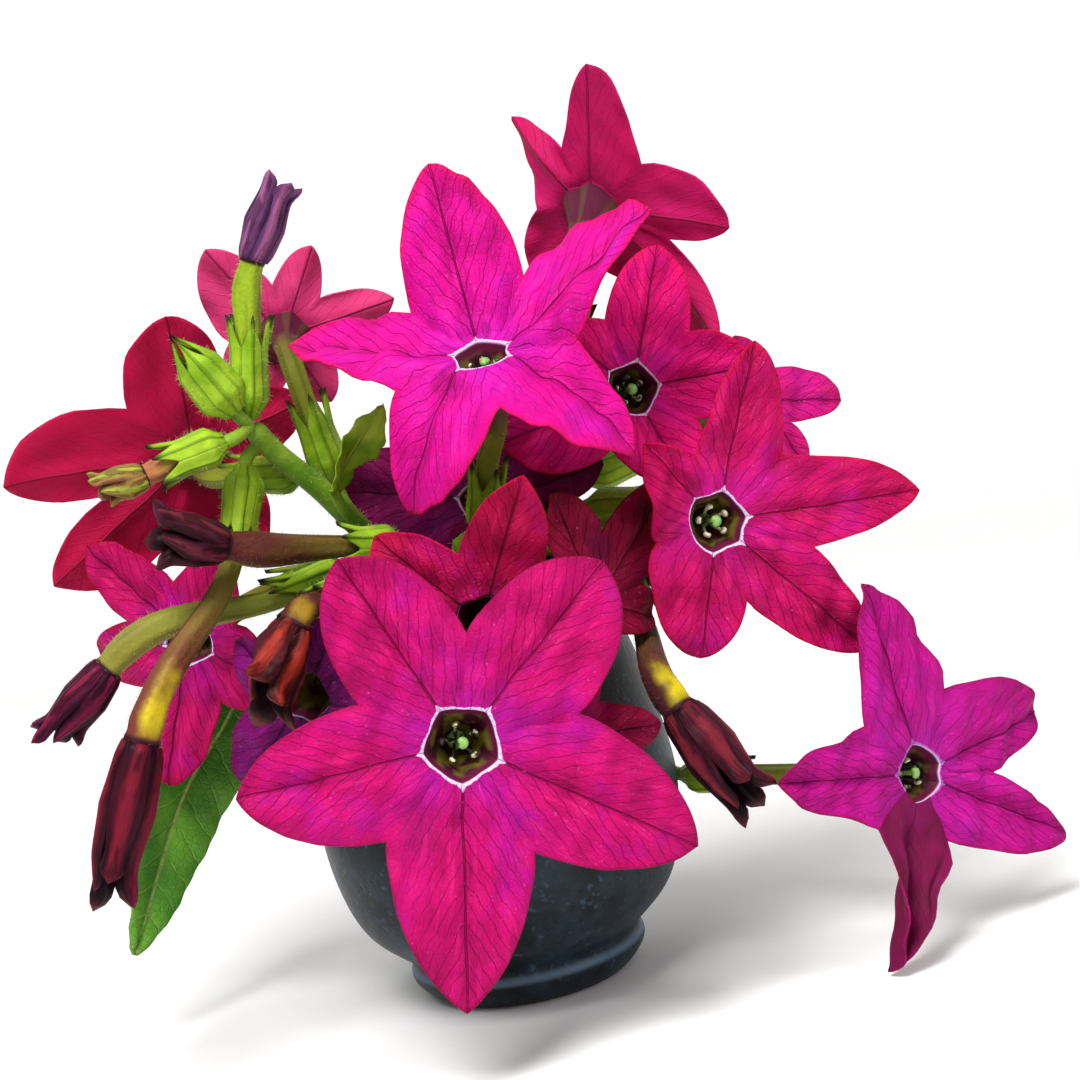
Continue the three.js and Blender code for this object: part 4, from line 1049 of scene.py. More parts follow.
# %% Bloom colours
# Each row holds the colours of face, shade, edge and vein, then the glow and the piece's colour slot
SHADES = {
    "front": ("ba0562", "a80c84", "8c0440", "7c043c", 0.5, "petal_magenta"),
    "upper": ("cc0684", "be129e", "c8083c", "84044c", 0.6, "petal_magenta"),
    "right": ("b40554", "b80e7c", "b0042c", "740430", 0.5, "petal_magenta"),
    "far_right": ("b00a7c", "a8148c", "84063c", "70064c", 0.5, "petal_magenta"),
    "upper_right": ("d00668", "c00c80", "bc0434", "7c043c", 0.5, "petal_magenta"),
    "right_back": ("cc1474", "bc1084", "a8063c", "8c0650", 0.3, "petal_magenta"),
    "top": ("b40a4c", "bc1c6c", "b4125c", "7c0430", 0.2, "petal_crimson"),
    "left_back": ("ac0838", "980c44", "ac0a40", "6a041e", 0.2, "petal_crimson"),
    "upper_left": ("cc3c74", "b81c54", "c42c64", "8c0c40", 0.2, "petal_crimson"),
    "left": ("b80858", "b00c84", "9c0430", "74043c", 0.5, "petal_crimson"),
    "middle": ("b00440", "a80860", "a80430", "70042c", 0.4, "petal_crimson"),
    # The last four blooms lie deep in the cluster: their dark colours are painted shade
    "deep": ("78044c", "640654", "540428", "3c042c", 0.2, "petal_crimson"),
    "inner_right": ("84042c", "640430", "6c0418", "44041c", 0.2, "petal_crimson"),
    "low_left": ("7c0868", "4c0648", "640430", "30042c", 0.2, "petal_crimson"),
    "low_right": ("8c0438", "7c0444", "740424", "4c0424", 0.3, "petal_crimson"),
}
PALE_LIP = "dcc4ec"
# Rim colours of the throats: pink on the far right bloom, and dark on the other three as painted shade where
# their throats lie in shadow
LIPS_AND_THROAT_SHADE = {"far_right": "b868c0", "low_left": "3c0c44", "middle": "5c0c34", "low_right": "4c0c30"}
BACKS = {"far_right": ("540828", "80084c")}
print("colours for blooms:", list(SHADES))

# %% [markdown]
# ## Fifteen blooms
# The four large blooms turn to the viewer, three are seen from behind and the rest crowd between the
# stems. A bloom is one row of the table: where it is, where it looks, its five lobes, and the seat of
# its tube. One loop paints, sews and places them all.

# %% Blooms
BLUNT = {"blunt": 2.0}
BLOOMS = [
    ("front", dict(at=(-2, -42, 45.5), yaw=8, pitch=6, throat=4.9, fine=(48, 46), lobes=[
        lobe(40, 30, 8, -10, **BLUNT), lobe(112, 29, 8, -10, **BLUNT), lobe(181, 30, 8, -14),
        lobe(259, 35, 8, -10, point=0.22), lobe(324, 34.5, 8, -14, point=0.18)],
        seat=(-13, -21.5, 61), toward=(0.3, -0.65, -0.7), length=6)),
    ("upper", dict(at=(10, -22, 92.5), yaw=-4, pitch=66, throat=3.6, fine=(36, 36), lobes=[
        lobe(98, 29, 48, 10), lobe(163, 27.5, 12, -10), lobe(222, 25, -20, -55),
        lobe(336, 25.5, -15, -45, sway=-1), lobe(22, 30.5, 28, 0)],
        seat=(5.7, -7, 66.6), toward=(0.18, -0.45, 0.88))),
    ("right", dict(at=(37, -20, 64), yaw=12, pitch=4, throat=4, fine=(36, 36), lobes=[
        lobe(66, 25, 5, 0, slim=0.2), lobe(122, 15, 20, -30, fold=0.5, slim=0.3),
        lobe(252, 19, 10, -25, blunt=2, slim=0.15), lobe(309, 28.5, 8, -15), lobe(356, 29, 8, -10, slim=0.2)],
        seat=(20, -1, 66), toward=(0.85, -0.3, -0.05))),
    ("far_right", dict(at=(58, -22, 24.5), yaw=38, pitch=4, throat=3.9, fine=(36, 36), lobes=[
        lobe(92, 27.5, 5, -15, slim=0.3), lobe(166, 25, 5, -10, slim=0.45, blunt=2, point=0),
        lobe(240, 27.5, 5, -10, fold=1.5, slim=0.45, point=0, notch=0.4, turned=True),
        lobe(325, 28, 12, -10, slim=0.25, fold=0.3),
        lobe(2, 27, 8, -20, slim=0.2, blunt=2)],
        seat=(27.5, 9.5, 22.6), toward=(0.75, -0.65, 0))),
    ("upper_right", dict(at=(29.5, -8, 82.5), yaw=10, pitch=8, throat=3.6, lobes=[
        lobe(67, 20.5, 5, -10, blunt=1.9, notch=0.62), lobe(130, 13.5, 5, -10, notch=0.6),
        lobe(190, 20, 5, -15, blunt=2.4), lobe(287, 15.5, 20, 20, blunt=2.2, notch=0.62),
        lobe(358, 17.5, 20, 10, blunt=2.6, notch=0.62)],
        seat=(17.6, 3.6, 67.8), toward=(0.5, 0.1, 0.85), length=7.5)),
    ("top", dict(at=(29, 0, 108), yaw=160, pitch=25, throat=3.6, lobes=[
        lobe(54, 17, 20, 20, fold=0.7, slim=0.4), lobe(105, 22, 10, -10, slim=0.3),
        lobe(198, 20, 5, -20, blunt=2, slim=0.1), lobe(236, 28, 10, -60, slim=0.3, fold=0.4),
        lobe(320, 15, 10, -20)],
        pucker_high=0.15, seat=(20.5, 3.2, 85), toward=(0.28, -0.3, 0.91), length=8)),
    ("right_back", dict(at=(46.5, 8, 75.5), yaw=30, pitch=15, throat=3.5, lobes=[
        lobe(348, 16.5, 5, -10), lobe(80, 10, 5, -10), lobe(150, 14, 5, -10), lobe(215, 14, 10, -20),
        lobe(300, 13, 10, -20)],
        seat=(21, 8, 69), toward=(0.9, 0.3, 0.15))),
    ("left_back", dict(at=(-34, 12, 83), yaw=-165, pitch=15, throat=3.6, lobes=[
        lobe(4, 28, 5, -10, blunt=2.2), lobe(88, 21.5, 5, -10, blunt=2.2), lobe(165, 18, 5, -10),
        lobe(250, 20, 5, -10), lobe(327, 28, 5, -10, **BLUNT)],
        pucker_high=0.15, seat=(-18, -5, 79.3), toward=(-0.9, 0.3, 0.1), length=7.5)),
    ("left", dict(at=(-39, 2, 58), yaw=-20, pitch=0, throat=3.6, lobes=[
        lobe(55, 14, 5, -10), lobe(133, 21, 5, -20), lobe(185, 20, 0, -40), lobe(247, 23.5, 5, -10),
        lobe(322, 17, 5, -10)],
        seat=(-15, 4, 63), toward=(-0.9, 0.3, -0.1))),
    ("upper_left", dict(at=(-18, 15, 97), yaw=-175, pitch=5, throat=3.5, lobes=[
        lobe(60, 17, 5, -10), lobe(118, 14, 5, -10), lobe(172, 17, 5, -10), lobe(245, 12, 5, -20),
        lobe(310, 14, 5, -20)],
        pucker_high=0.15, seat=(-14, -1, 77), toward=(-0.15, 0.05, 0.98))),
    ("middle", dict(at=(3.5, -31, 58.5), yaw=0, pitch=0, throat=3.6, lobes=[
        lobe(65, 22, 15, 10), lobe(131, 18.5, 5, -20), lobe(240, 11, 5, -20), lobe(290, 12, 5, -20),
        lobe(345, 10.5, 5, 10)],
        seat=(3.5, -12, 66.5), toward=(0.05, -0.9, -0.35), length=6)),
    ("deep", dict(at=(6.5, -1.5, 70), yaw=-5, pitch=25, throat=3.6, lobes=[
        lobe(3, 18.5, 28, -12, blunt=3, notch=0.65), lobe(88, 13, 20, -10),
        lobe(164, 23, 0, -12, blunt=2.8, notch=0.65), lobe(232, 13, 5, -20), lobe(312, 12, 5, -10)],
        seat=(5.2, 8.2, 57.5), toward=(0.05, -0.25, 0.97), length=5)),
    ("inner_right", dict(at=(18.8, -24, 57), yaw=35, pitch=5, throat=3.5, lobes=[
        lobe(37, 21, 8, -12, **BLUNT), lobe(98, 16, 5, -10, blunt=2.2), lobe(165, 10.5, 5, -20),
        lobe(250, 8, 5, -10), lobe(333, 11, 10, -20)],
        seat=(14, -6, 66), toward=(0.25, -0.8, -0.5), length=6, slack=0.2)),
    ("low_left", dict(at=(-22, -24, 52), yaw=-25, pitch=-4, throat=3.5, lobes=[
        lobe(55, 13, 5, -10), lobe(140, 13, 5, -20), lobe(222, 20, 5, -20), lobe(268, 16, 5, -20),
        lobe(340, 12, 5, -10)],
        seat=(-16, -12.5, 62), toward=(-0.3, -0.25, -0.92), length=6)),
    ("low_right", dict(at=(10.5, -35, 42), yaw=12, pitch=-5, throat=3.6, lobes=[
        lobe(65, 14, 5, -10), lobe(120, 12, 5, -10), lobe(225, 14, 5, -10), lobe(285, 20, 5, -10),
        lobe(355, 14, 10, -10)],
        seat=(9.5, -20.5, 60), toward=(0, -0.4, -0.9), slack=0.25)),
]

for index, (name, shape) in enumerate(BLOOMS):
    *codes, glow, slot = SHADES[name]
    face, shade, edge, vein = (colour(code) for code in codes)
    lip_and_throat_shade = LIPS_AND_THROAT_SHADE.get(name, PALE_LIP)
    front = petal_front("petal_" + name, face, shade, edge, vein, glow, index * 1.7, lip_and_throat_shade)
    if name in BACKS:
        edge, face = (colour(code) for code in BACKS[name])
    back = petal_back("petal_back_" + name, edge, face, vein, index * 1.7)
    mesh = corolla(name, front, back, seed=index * 1.3 + 0.4, **shape)
    place_piece(mesh, "petals_" + name, "bloom_" + name, hair=(1.0, 0.6))
print("bloom triangles:", sum(len(p.data.loops) - 2 * len(p.data.polygons) for p in pieces.values()))

# %% [markdown]
# ## Stems and flower stalks
# A stem is a round shoot that follows a line, so the rule is short: take the line, give it a radius
# at each point and sweep a circle along it. Geometry Nodes does this for the stems and for every
# stalk that branches off towards a flower. The tips end in a small dome, which closes them.

# %% Stems by Geometry Nodes
def stem_tree():
    tree = Shaper("stem sweep", Sides=14)
    line = tree.node("GeometryNodeMeshToCurve", None, {0: tree.shape})
    circle = {"Resolution": tree.given("Sides"), "Radius": 1.0}
    circle = tree.node("GeometryNodeCurvePrimitiveCircle", {"mode": "RADIUS"}, circle)
    swept = {"Curve": line, "Profile Curve": circle, "Scale": tree.attribute("girth")}
    swept = tree.node("GeometryNodeCurveToMesh", None, swept)
    tree.done(swept, STEM)
    return tree


STEM_SWEEP = stem_tree()


DOME = np.array([0.0, 0.12, 0.35, 0.7, 1.0])


def sweep(skin, line, radius, sides=14):
    """Adds a round shoot along a line, with domed ends"""
    gone = path_length(line)
    radius = np.interp(gone, np.linspace(0, gone[-1], len(radius)), radius)
    between = gone[(gone > radius[0]) & (gone < gone[-1] - radius[-1])]
    far = np.concatenate([DOME * radius[0], between, gone[-1] - DOME[::-1] * radius[-1]])
    wide = np.interp(far, gone, radius)
    ends = np.clip(np.minimum(far / radius[0], (gone[-1] - far) / radius[-1]), 0, 1)
    wide = np.maximum(wide * np.sqrt(1 - (1 - ends) ** 2), 1e-4)
    wire = wire_mesh("line", np.stack([np.interp(far, gone, line[:, k]) for k in range(3)], -1) * MM)
    girth = wire.attributes.new("girth", "FLOAT", "POINT")
    girth.data.foreach_set("value", (wide * MM).astype(np.float32))
    swept = STEM_SWEEP.bake(wire, Sides=sides)
    count = len(swept.vertices)
    corners = np.empty(count * 3)
    swept.vertices.foreach_get("co", corners)
    quads = np.array([list(face.vertices) for face in swept.polygons])
    skin.add(corners.reshape(-1, 3) / MM, quads, STEM, np.zeros((2, count, 2)), np.ones(count))


test = Skin("test")
sweep(test, curve_points([(0, 0, 0), (0, 3, 10)], 1.0), (1.0, 0.8))
print("a short stem's points:", test.count)

# %% [markdown]
# ## Cups
# The calyx is a ribbed green cup. Its five ribs run out into long narrow teeth with dark tips that
# lie along the tube. One rule draws the rim: high at a rib, low between two. The skin goes up the
# outside, over the thin rim and down the inside to the floor, where the tube is seated.

# %% Cup
CUP_LENGTH = 8.5
CUP_RADIUS = 2.8
CUP_SIDES = 60


def cup(skin, seat, toward, length=CUP_LENGTH, radius=CUP_RADIUS, tooth=4.0, closed=False):
    """Adds a cup that stands on its seat; where closed, its teeth meet over the bud"""
    axis = unit(np.array(toward, float))
    seat = np.array(seat, float)
    line = np.stack([seat, seat + axis])
    _, right, up = (directions[0] for directions in carried_frames(line, any_side(line)))
    turn = np.linspace(0, 5, CUP_SIDES + 1)
    saw = 2 * np.abs(turn - np.round(turn))
    rim = length + tooth * 1.1 * (1 - saw) ** 1.45
    lean = 0.35 * np.sin(2.1 * np.round(turn) + seat[0])
    rib = 0.22 * np.exp(-(saw / 0.22) ** 2)
    angle = 2 * math.pi * turn[:, None] / 5
    spokes = right * np.cos(angle) + up * np.sin(angle)

    def teeth(z):
        """How far the teeth lean outwards, or inwards where the flower is still closed"""
        beyond = np.clip((z - length * 0.9) / (tooth + 0.1), 0, None)
        return -0.75 * radius * beyond if closed else (0.45 + lean) * beyond * (1 - saw)

    def ring(wide, z):
        return seat + spokes * wide[:, None] + axis * z[:, None]

    climb = np.linspace(0, 1, 19)
    outside, inside = [], []
    for z in rim * climb[:, None] ** 0.9:
        body = 0.5 + 0.5 * smooth(z / (length * 0.32)) - 0.1 * smooth((z - length * 0.35) / (length * 0.6))
        outside.append(ring(radius * body + rib * smooth(z / 2) + teeth(z), z))
    for z in 2 + (rim - 2.15) * np.linspace(1, 0, 9)[:, None]:
        inside.append(ring(np.maximum(radius * 0.93 - 0.45 + teeth(z), 0.2), z))
    bottom = closing_point(outside[0], seat - axis * 0.2, 2)[:0:-1]
    base = closing_point(inside[-1], seat + axis * 2, 2)[1:]
    full = np.concatenate([bottom, outside, inside, base])
    high = np.concatenate([np.zeros(2), climb, np.linspace(0.97, 0, 9), np.zeros(2)])[:, None]
    across = 0.5 + (turn - np.round(turn))
    hair = np.zeros(full.shape[:2])
    hair[2:20] = 1.3
    skin.grid(full, CUP, (across, high), (across, high), hairy=hair)


test = Skin("test")
cup(test, (0, 0, 0), (0, 0, 1))
print("a cup's points:", test.count)

# %% [markdown]
# ## Leaves
# A leaf is a thin blade along a bent line. It is widest near its foot, its middle vein is sunk, its
# two halves rise a little from it, and the margin waves. The side veins are left to the finish.

# %% Leaf
LEAF_STEP = 0.9


def leaf(skin, points, width, face, bulge=0.9, look=LEAF):
    """Adds a blade whose upper side looks towards face; a larger bulge widens it nearer its tip"""
    line = curve_points(points, LEAF_STEP)
    ahead = unit(np.gradient(line, axis=0))
    side = unit(np.cross(ahead, np.array(face, float)))
    up = np.cross(side, ahead)
    t = np.linspace(0, 1, len(line))[:, None]
    s = np.sin(np.linspace(-math.pi / 2, math.pi / 2, 23))[None]
    half = np.maximum(width * np.maximum(np.sin(math.pi * t ** bulge), 0) ** 0.7, 0.9 - 0.6 * t) / 2
    along, across = t * (len(line) - 1) * LEAF_STEP, s * half
    veins = 0.18 * np.cos((along - np.abs(across) * 0.9) * 1.35) * np.abs(s)
    veins = veins - 0.45 * np.exp(-(across / 0.5) ** 2)
    lift = np.abs(across) * 0.3 + s * s * 0.6 * np.sin(9 * t + 2 * s) + veins * smooth(half)
    lift = lift + 0.3 * np.abs(s) ** 3 * np.sin(34 * t + 3 * s)
    middle = line[:, None] + side[:, None] * across[..., None] + up[:, None] * lift[..., None]
    normal = unit(np.cross(np.gradient(middle, axis=1), np.gradient(middle, axis=0)))
    thick = 0.26 * np.sqrt(1 - np.abs(s) ** 6) * ((t > 0) & (t < 1))
    flow, part = (0.5 + across * FLOW_SCALE, along * FLOW_SCALE), (0.5 + s / 2, t)
    for way, hairy in ((1, 0.12), (-1, 0.25)):
        skin.grid(middle + normal * thick[..., None] * way, look, flow, part, hairy=hairy, turn=way < 0)


test = Skin("test")
leaf(test, [(0, 0, 0), (0, 0, 10), (2, 0, 20)], 8, (0, 1, 0))
print("a leaf's points:", test.count)

# %% [markdown]
# ## Eight sprays
# Each spray is one shoot with what grows on it: the stem that stands in the compost, the stalks that
# leave it, their cups, and in three places a leaf. The table says where each flower's stalk begins.

# %% Where they grow
# Points in millimetres from the compost upwards, and the stem's radius
STEMS = {
    "upper_left": ([(-5, 3, 40), (-6, 3, 54), (-8, 1, 62), (-15, -5, 75.5), (-21, -9, 84),
                    (-23, -11, 88)], 1.9),
    "left": ([(-9, -1, 40), (-9.5, -1, 54), (-11, -1.5, 62), (-13, -2, 65)], 1.6),
    "front_left": ([(-5, -8, 40), (-5.5, -8, 54), (-7, -11, 62), (-11, -17, 64)], 1.5),
    "middle": ([(0, -4.5, 40), (0, -4.5, 54), (1.5, -6, 62), (4.5, -7, 66.5)], 1.5),
    "right": ([(7, 0, 40), (7.5, 0.5, 54), (11, 2, 61), (17, 3, 68)], 1.7),
    "front_right": ([(7.5, -5, 40), (8, -6, 54), (10, -9.5, 63), (11.5, -15.5, 64)], 1.4),
    "back": ([(3, 8, 40), (3.5, 8.3, 51), (4.5, 8.5, 56)], 1.4),
    "far_right": ([(10, 5, 40), (10, 5.5, 54), (10, 7, 60), (13.5, 12.5, 64.5), (17, 17.5, 60),
                   (19, 20, 48), (20.5, 21, 36), (22, 20, 27), (25, 14.5, 23)], 1.3),
}
BUDS = {
    "upright": dict(spray="upper_left", seat=(-23.2, -11, 89), toward=(0.2, 0.04, 0.98), via=[],
                    neck=(-18.6, -10, 109.5), heading=(0.5, 0, 0.85), tip=12, width=2.8, girth=2.1, length=10,
                    flare=0.2),
    "pink": dict(spray="upper_left", seat=(-26.5, -16, 87), toward=(-0.95, -0.2, -0.15), via=[],
                 neck=(-37.5, -18.5, 85), heading=(-0.95, -0.25, -0.1), tip=7, width=2.5, girth=1.8,
                 length=7, tooth=3),
    "hanging": dict(spray="upper_left", seat=(-25, -9.5, 82.5), toward=(-0.3, -0.25, -0.92),
                    via=[(-21.5, -9.5, 85.5)], neck=(-44, -28, 52), heading=(-0.4, -0.1, -0.9), tip=23,
                    width=4, girth=2.1, flare=0.15),
    "level": dict(spray="left", seat=(-6, -10, 67.5), toward=(-0.93, -0.25, 0.2),
                  via=[(-12, -1.8, 64), (-8.5, -5.5, 66)], neck=(-28.5, -20, 73.5),
                  heading=(-0.85, -0.35, 0.4), tip=10.5, width=3.4, girth=2.6, length=6.5,
                  tooth=2.5, flare=0.3),
    "far_left": dict(spray="left", seat=(-14, -6, 64.5), toward=(-0.9, -0.35, -0.1), via=[],
                     neck=(-48, -17, 60), heading=(-0.75, -0.05, -0.65), tip=13.5, width=3.2, girth=2.2),
    "twisted": dict(spray="front_left", seat=(-11.5, -19, 65), toward=(-0.75, -0.6, -0.1), via=[],
                    neck=(-21, -29, 63), heading=(-0.55, -0.2, -0.8), tip=12, width=3.6, girth=2, flare=0.5,
                    length=6, tooth=3),
    "right": dict(spray="front_right", seat=(22.5, -11.5, 62), toward=(0.2, -0.3, -0.93),
                  via=[(10, -9, 62.8), (15, -6.5, 61.8), (19.5, -8, 64)], neck=(26.6, -29, 42),
                  heading=(0.45, -0.3, -0.85), tip=16.5, width=3.9, girth=2.2, length=8, tooth=3),
}
# The spray that a bloom's stalk grows on, points on its way, and how long its cup's teeth are
STALKS = {
    "front": ("front_left", [], 3), "upper": ("middle", [], 4), "right": ("right", [], 3),
    "far_right": ("far_right", [(23, 17.5, 24.5)], 4), "upper_right": ("right", [], 3),
    "top": ("right", [(15, 2.8, 66), (17, 5, 76)], 3), "right_back": ("right", [(15.5, 2.9, 66.3)], 4),
    "left_back": ("upper_left", [(-17, -6.5, 78.5)], 4), "left": ("left", [(-12, -1.7, 63.5)], 4),
    "upper_left": ("upper_left", [(-11.5, -2, 69.5)], 4), "middle": ("middle", [(1, -5.5, 60)], 2.5),
    "deep": ("back", [], 2.5), "inner_right": ("front_right", [(10, -9, 62.8)], 2.5),
    "low_left": ("left", [(-11.5, -3, 63.5), (-14, -9, 65)], 2.5), "low_right": ("front_right", [], 4),
}
LEAVES = {
    "left": [dict(points=[(-23, 13, 59), (-31, 16, 51.5), (-37.5, 14.5, 43), (-45.5, 11, 34), (-51, 7, 24.5),
                          (-56.5, 2, 13.5)], width=13, bulge=1.3, face=(0.75, -0.35, 0.55),
                  stalk=[(-12.5, -1.8, 64), (-14, 4, 67), (-18, 10, 64), (-24, 13.4, 58)])],
    "upper_left": [dict(points=[(-14, -7, 76), (-11.5, -9.5, 80), (-8, -11, 84), (-4.5, -12, 87.5)], width=7,
                        face=(0.75, -0.6, 0.3), look=BRACT,
                        stalk=[(-11, -3, 70), (-13, -6, 73), (-14, -7, 76.5)])],
    "front_right": [dict(points=[(27, -9.5, 62.5), (29.2, -11.5, 58), (31.2, -13.5, 53), (33, -15, 47.5)],
                         width=7.5, face=(0.3, -0.9, 0.3),
                         stalk=[(19.5, -8, 64), (24, -8, 64.9), (27.3, -9.9, 61.8)])],
}


print("sprays:", len(STEMS), "buds:", len(BUDS), "leaves on", list(LEAVES))

# %% [markdown]
# ## Growing the sprays
# The same few steps make every spray: sweep the stem, then for each flower sweep its stalk and stand
# a cup on it, then add the leaves on their stalks. A spray's whole skin is sewn in one go, so its
# hairs run on from the stem over the cups.

# %% Sprays
CLOSED_BUD = dict(seat=(-24.5, -13.5, 90.5), toward=(-0.45, -0.1, 0.85), length=9, radius=3.5, tooth=4.5,
                  closed=True)


def only(entry, *keys):
    """Those of the named values that a table's entry has"""
    return {key: entry[key] for key in keys if key in entry}


def stalk_and_cup(skin, stem_end, seat, toward, via=(), **sizes):
    """A flower's stalk, from the stem's end or by the points in via, and the cup on it"""
    axis = unit(np.array(toward, float))
    points = list(via or [stem_end]) + [np.array(seat) - axis * 1.2, np.array(seat) + axis * 0.6]
    sweep(skin, curve_points(points, 1.0), (0.95, 0.9, 1.05), 12)
    cup(skin, seat, toward, **sizes)


def flowers_on(name):
    """What the stalk and cup of each bloom and bud on a spray need"""
    for flower, shape in BLOOMS:
        spray, via, tooth = STALKS[flower]
        if spray == name:
            yield dict(only(shape, "seat", "toward", "length"), via=via, tooth=tooth)
    for shape in BUDS.values():
        if shape["spray"] == name:
            yield only(shape, "seat", "toward", "via", "length", "tooth")
    if name == "upper_left":
        yield CLOSED_BUD


for name, (points, radius) in STEMS.items():
    skin = Skin(name)
    sweep(skin, curve_points(points, 1.2), (radius, radius * 0.8))
    for flower in flowers_on(name):
        stalk_and_cup(skin, points[-1], **flower)
    for blade in LEAVES.get(name, []):
        leaf(skin, **only(blade, "points", "width", "face", "bulge", "look"))
        sweep(skin, curve_points(blade["stalk"], 1.0), (0.95, 0.8), 12)
    place_piece(skin.mesh(), "green_" + name, "spray_" + name, hair=(1.1, 0.75))
print("green pieces:", [name for name in pieces if name.startswith("green")])

# %% [markdown]
# ## Folded flowers
# Before it opens, and again after it wilts, the star is pleated into five dark fingers. Each finger
# is a petal folded along its vein, with a crimson ridge; painted shade makes its sides and pleats
# nearly black. Below them the corolla is pinched into a collar with a yellow patch, and the hairy
# tube runs on into its cup.

# %% Bud finishes
def bud_tube_finish(name, low, high, patch):
    def paint(tree):
        across, _, _, reach = petal_coordinates(tree)
        place = own_place(tree)
        cloud = tree.noise(place, 240.0, 3.0)
        fine = tree.noise(place, 1400.0, 2.0)
        streak = tree.noise(tree.vector(across * 0.9, reach * 1.5, 2.0), 1.0, 3.0)
        base = tree.mix(tree.rise(reach + streak * 0.9 - 0.45, 0.2, 0.8), low, high)
        base = tree.mix(tree.rise(streak, 0.5, 0.62) * 0.55, base, colour("3c1a1c"))
        round_ = tree.maths("SINE", across * (2 * math.pi / 5) + 0.6)
        lit = tree.rise(round_ + cloud * 0.8 - 0.4, 0.35, 1.0)
        glow = tree.rise(reach + cloud * 0.3 - 0.15, 0.66, 0.86) * tree.rise(reach, 0.95, 0.84) * lit
        base = tree.mix(glow, base, patch)
        base = tree.mix(tree.rise(reach, 0.9, 0.94), base, colour("2c0814"))
        rib = tree.maths("SINE", across * (2 * math.pi))
        return {
            "Base Color": base,
            "Roughness": 0.42 + fine * 0.25,
            "Specular IOR Level": 0.2,
            "Normal": bump(tree, rib * 0.4 + fine * 0.6 + cloud, 0.2),
        }
    return finish(name, paint)


def folded_finish(name, ridge, body, painted_hollow_shade):
    def paint(tree):
        across, _, side, reach = petal_coordinates(tree)
        cloud = tree.noise(own_place(tree), 260.0, 3.0)
        pleat = tree.noise(tree.vector(across, reach * 1.2, 1.0), 2.2, 3.0)
        base = tree.mix(tree.rise(side + cloud * 0.3 - 0.15, 0.02, 0.3), ridge, body)
        # Painted shade: the finger darkens to nearly black towards its inner hollows and along the pleats
        base = tree.mix(tree.rise(side, 0.35, 0.8), base, painted_hollow_shade)
        base = tree.mix(tree.rise(pleat, 0.48, 0.6) * 0.7, base, painted_hollow_shade)
        base = tree.mix(tree.rise(reach, 0.9, 1.0) * 0.4, base, ridge)
        return {
            "Base Color": base,
            "Roughness": 0.4 + cloud * 0.2,
            "Specular IOR Level": 0.1,
            "Normal": bump(tree, pleat + cloud * 0.5, 0.5),
        }
    return finish(name, paint)


# The tube below and above, the patch, then the ridge, body and painted shade of the hollows of the fingers
BUD_SHADES = {
    "upright": ("9cb824", "88a018", "b4bc1c", "8c5078", "58305a", "2a1030"),
    "pink": ("9cac34", "a86440", "b49c34", "94a034", "8c6c38", "5c2c24"),
    "hanging": ("7c7028", "6c3028", "d0b81c", "701428", "340818", "10030a"),
    "level": ("64541c", "54201c", "8c9014", "60202e", "3a1020", "180408"),
    "far_left": ("98a038", "848030", "d8c414", "741438", "400826", "16040e"),
    "twisted": ("503818", "4c1c1c", "987814", "982c20", "44161a", "1c060a"),
    "right": ("60481c", "481820", "dcc810", "701c2c", "380a1a", "12030a"),
}
print("bud colours for", list(BUD_SHADES))

# %% [markdown]
# ## Seven buds
# A bud's tube swells towards its neck and is pinched where the fingers begin. A finger is drawn as
# rings round a middle line: wide across, shallow, and creased by a small wave. Its number decides its
# length, lean and twist, so no two fingers of a bud are alike.

# %% Buds
HEAD_REACH = (0.0, 0.14, 0.45, 0.75, 1.0)
RIDGE = (0.6, 0.82, 0.96, 0.8, 0.6)
COLLAR = ((0.04, 0.64), (0.1, 0.66), (0.18, 0.6), (0.3, 0.4))
HEAD_TWIST = math.radians(20)


def bud_body(skin, look, line, frames, neck, axis, tip, width, girth):
    """The hairy tube and the pinched collar under the fingers"""
    turns = full_turn(25)
    gone = path_length(line)
    left = gone[-1] - gone
    radius = blend_between(1.4, girth, smooth(np.linspace(0, 1, len(line)) * 1.15 - 0.1))
    radius = np.minimum(radius, 0.9 + gone * 0.4)
    radius = radius + (width * 0.64 - girth) * smooth((5 - left) / 5)
    radius = radius * (1 - 0.1 * np.exp(-(left / 1.2) ** 2))
    rows = rings_along(line, frames, turns, radius[:, None] * (1 + 0.045 * np.cos(5 * turns)))
    _, right, up = (directions[-1] for directions in frames)
    collar = []
    for t, wide in COLLAR:
        spin = turns[:, None] + HEAD_TWIST * t
        collar.append(neck + axis * t * tip + (right * np.cos(spin) + up * np.sin(spin)) * width * wide)
    rows = capped(np.concatenate([rows, collar]), line[0], neck + axis * tip * 0.34)
    across = 0.5 + turns / (2 * math.pi) * 5 * FLOW_SCALE
    reach = np.concatenate([[0], np.linspace(0, 0.9, len(line)), [0.94, 0.96, 0.98, 1, 1]])[:, None]
    hair = np.ones(rows.shape[:2])
    hair[-4:] = 0
    skin.grid(rows, look, (across, reach), (across, reach), hairy=hair)


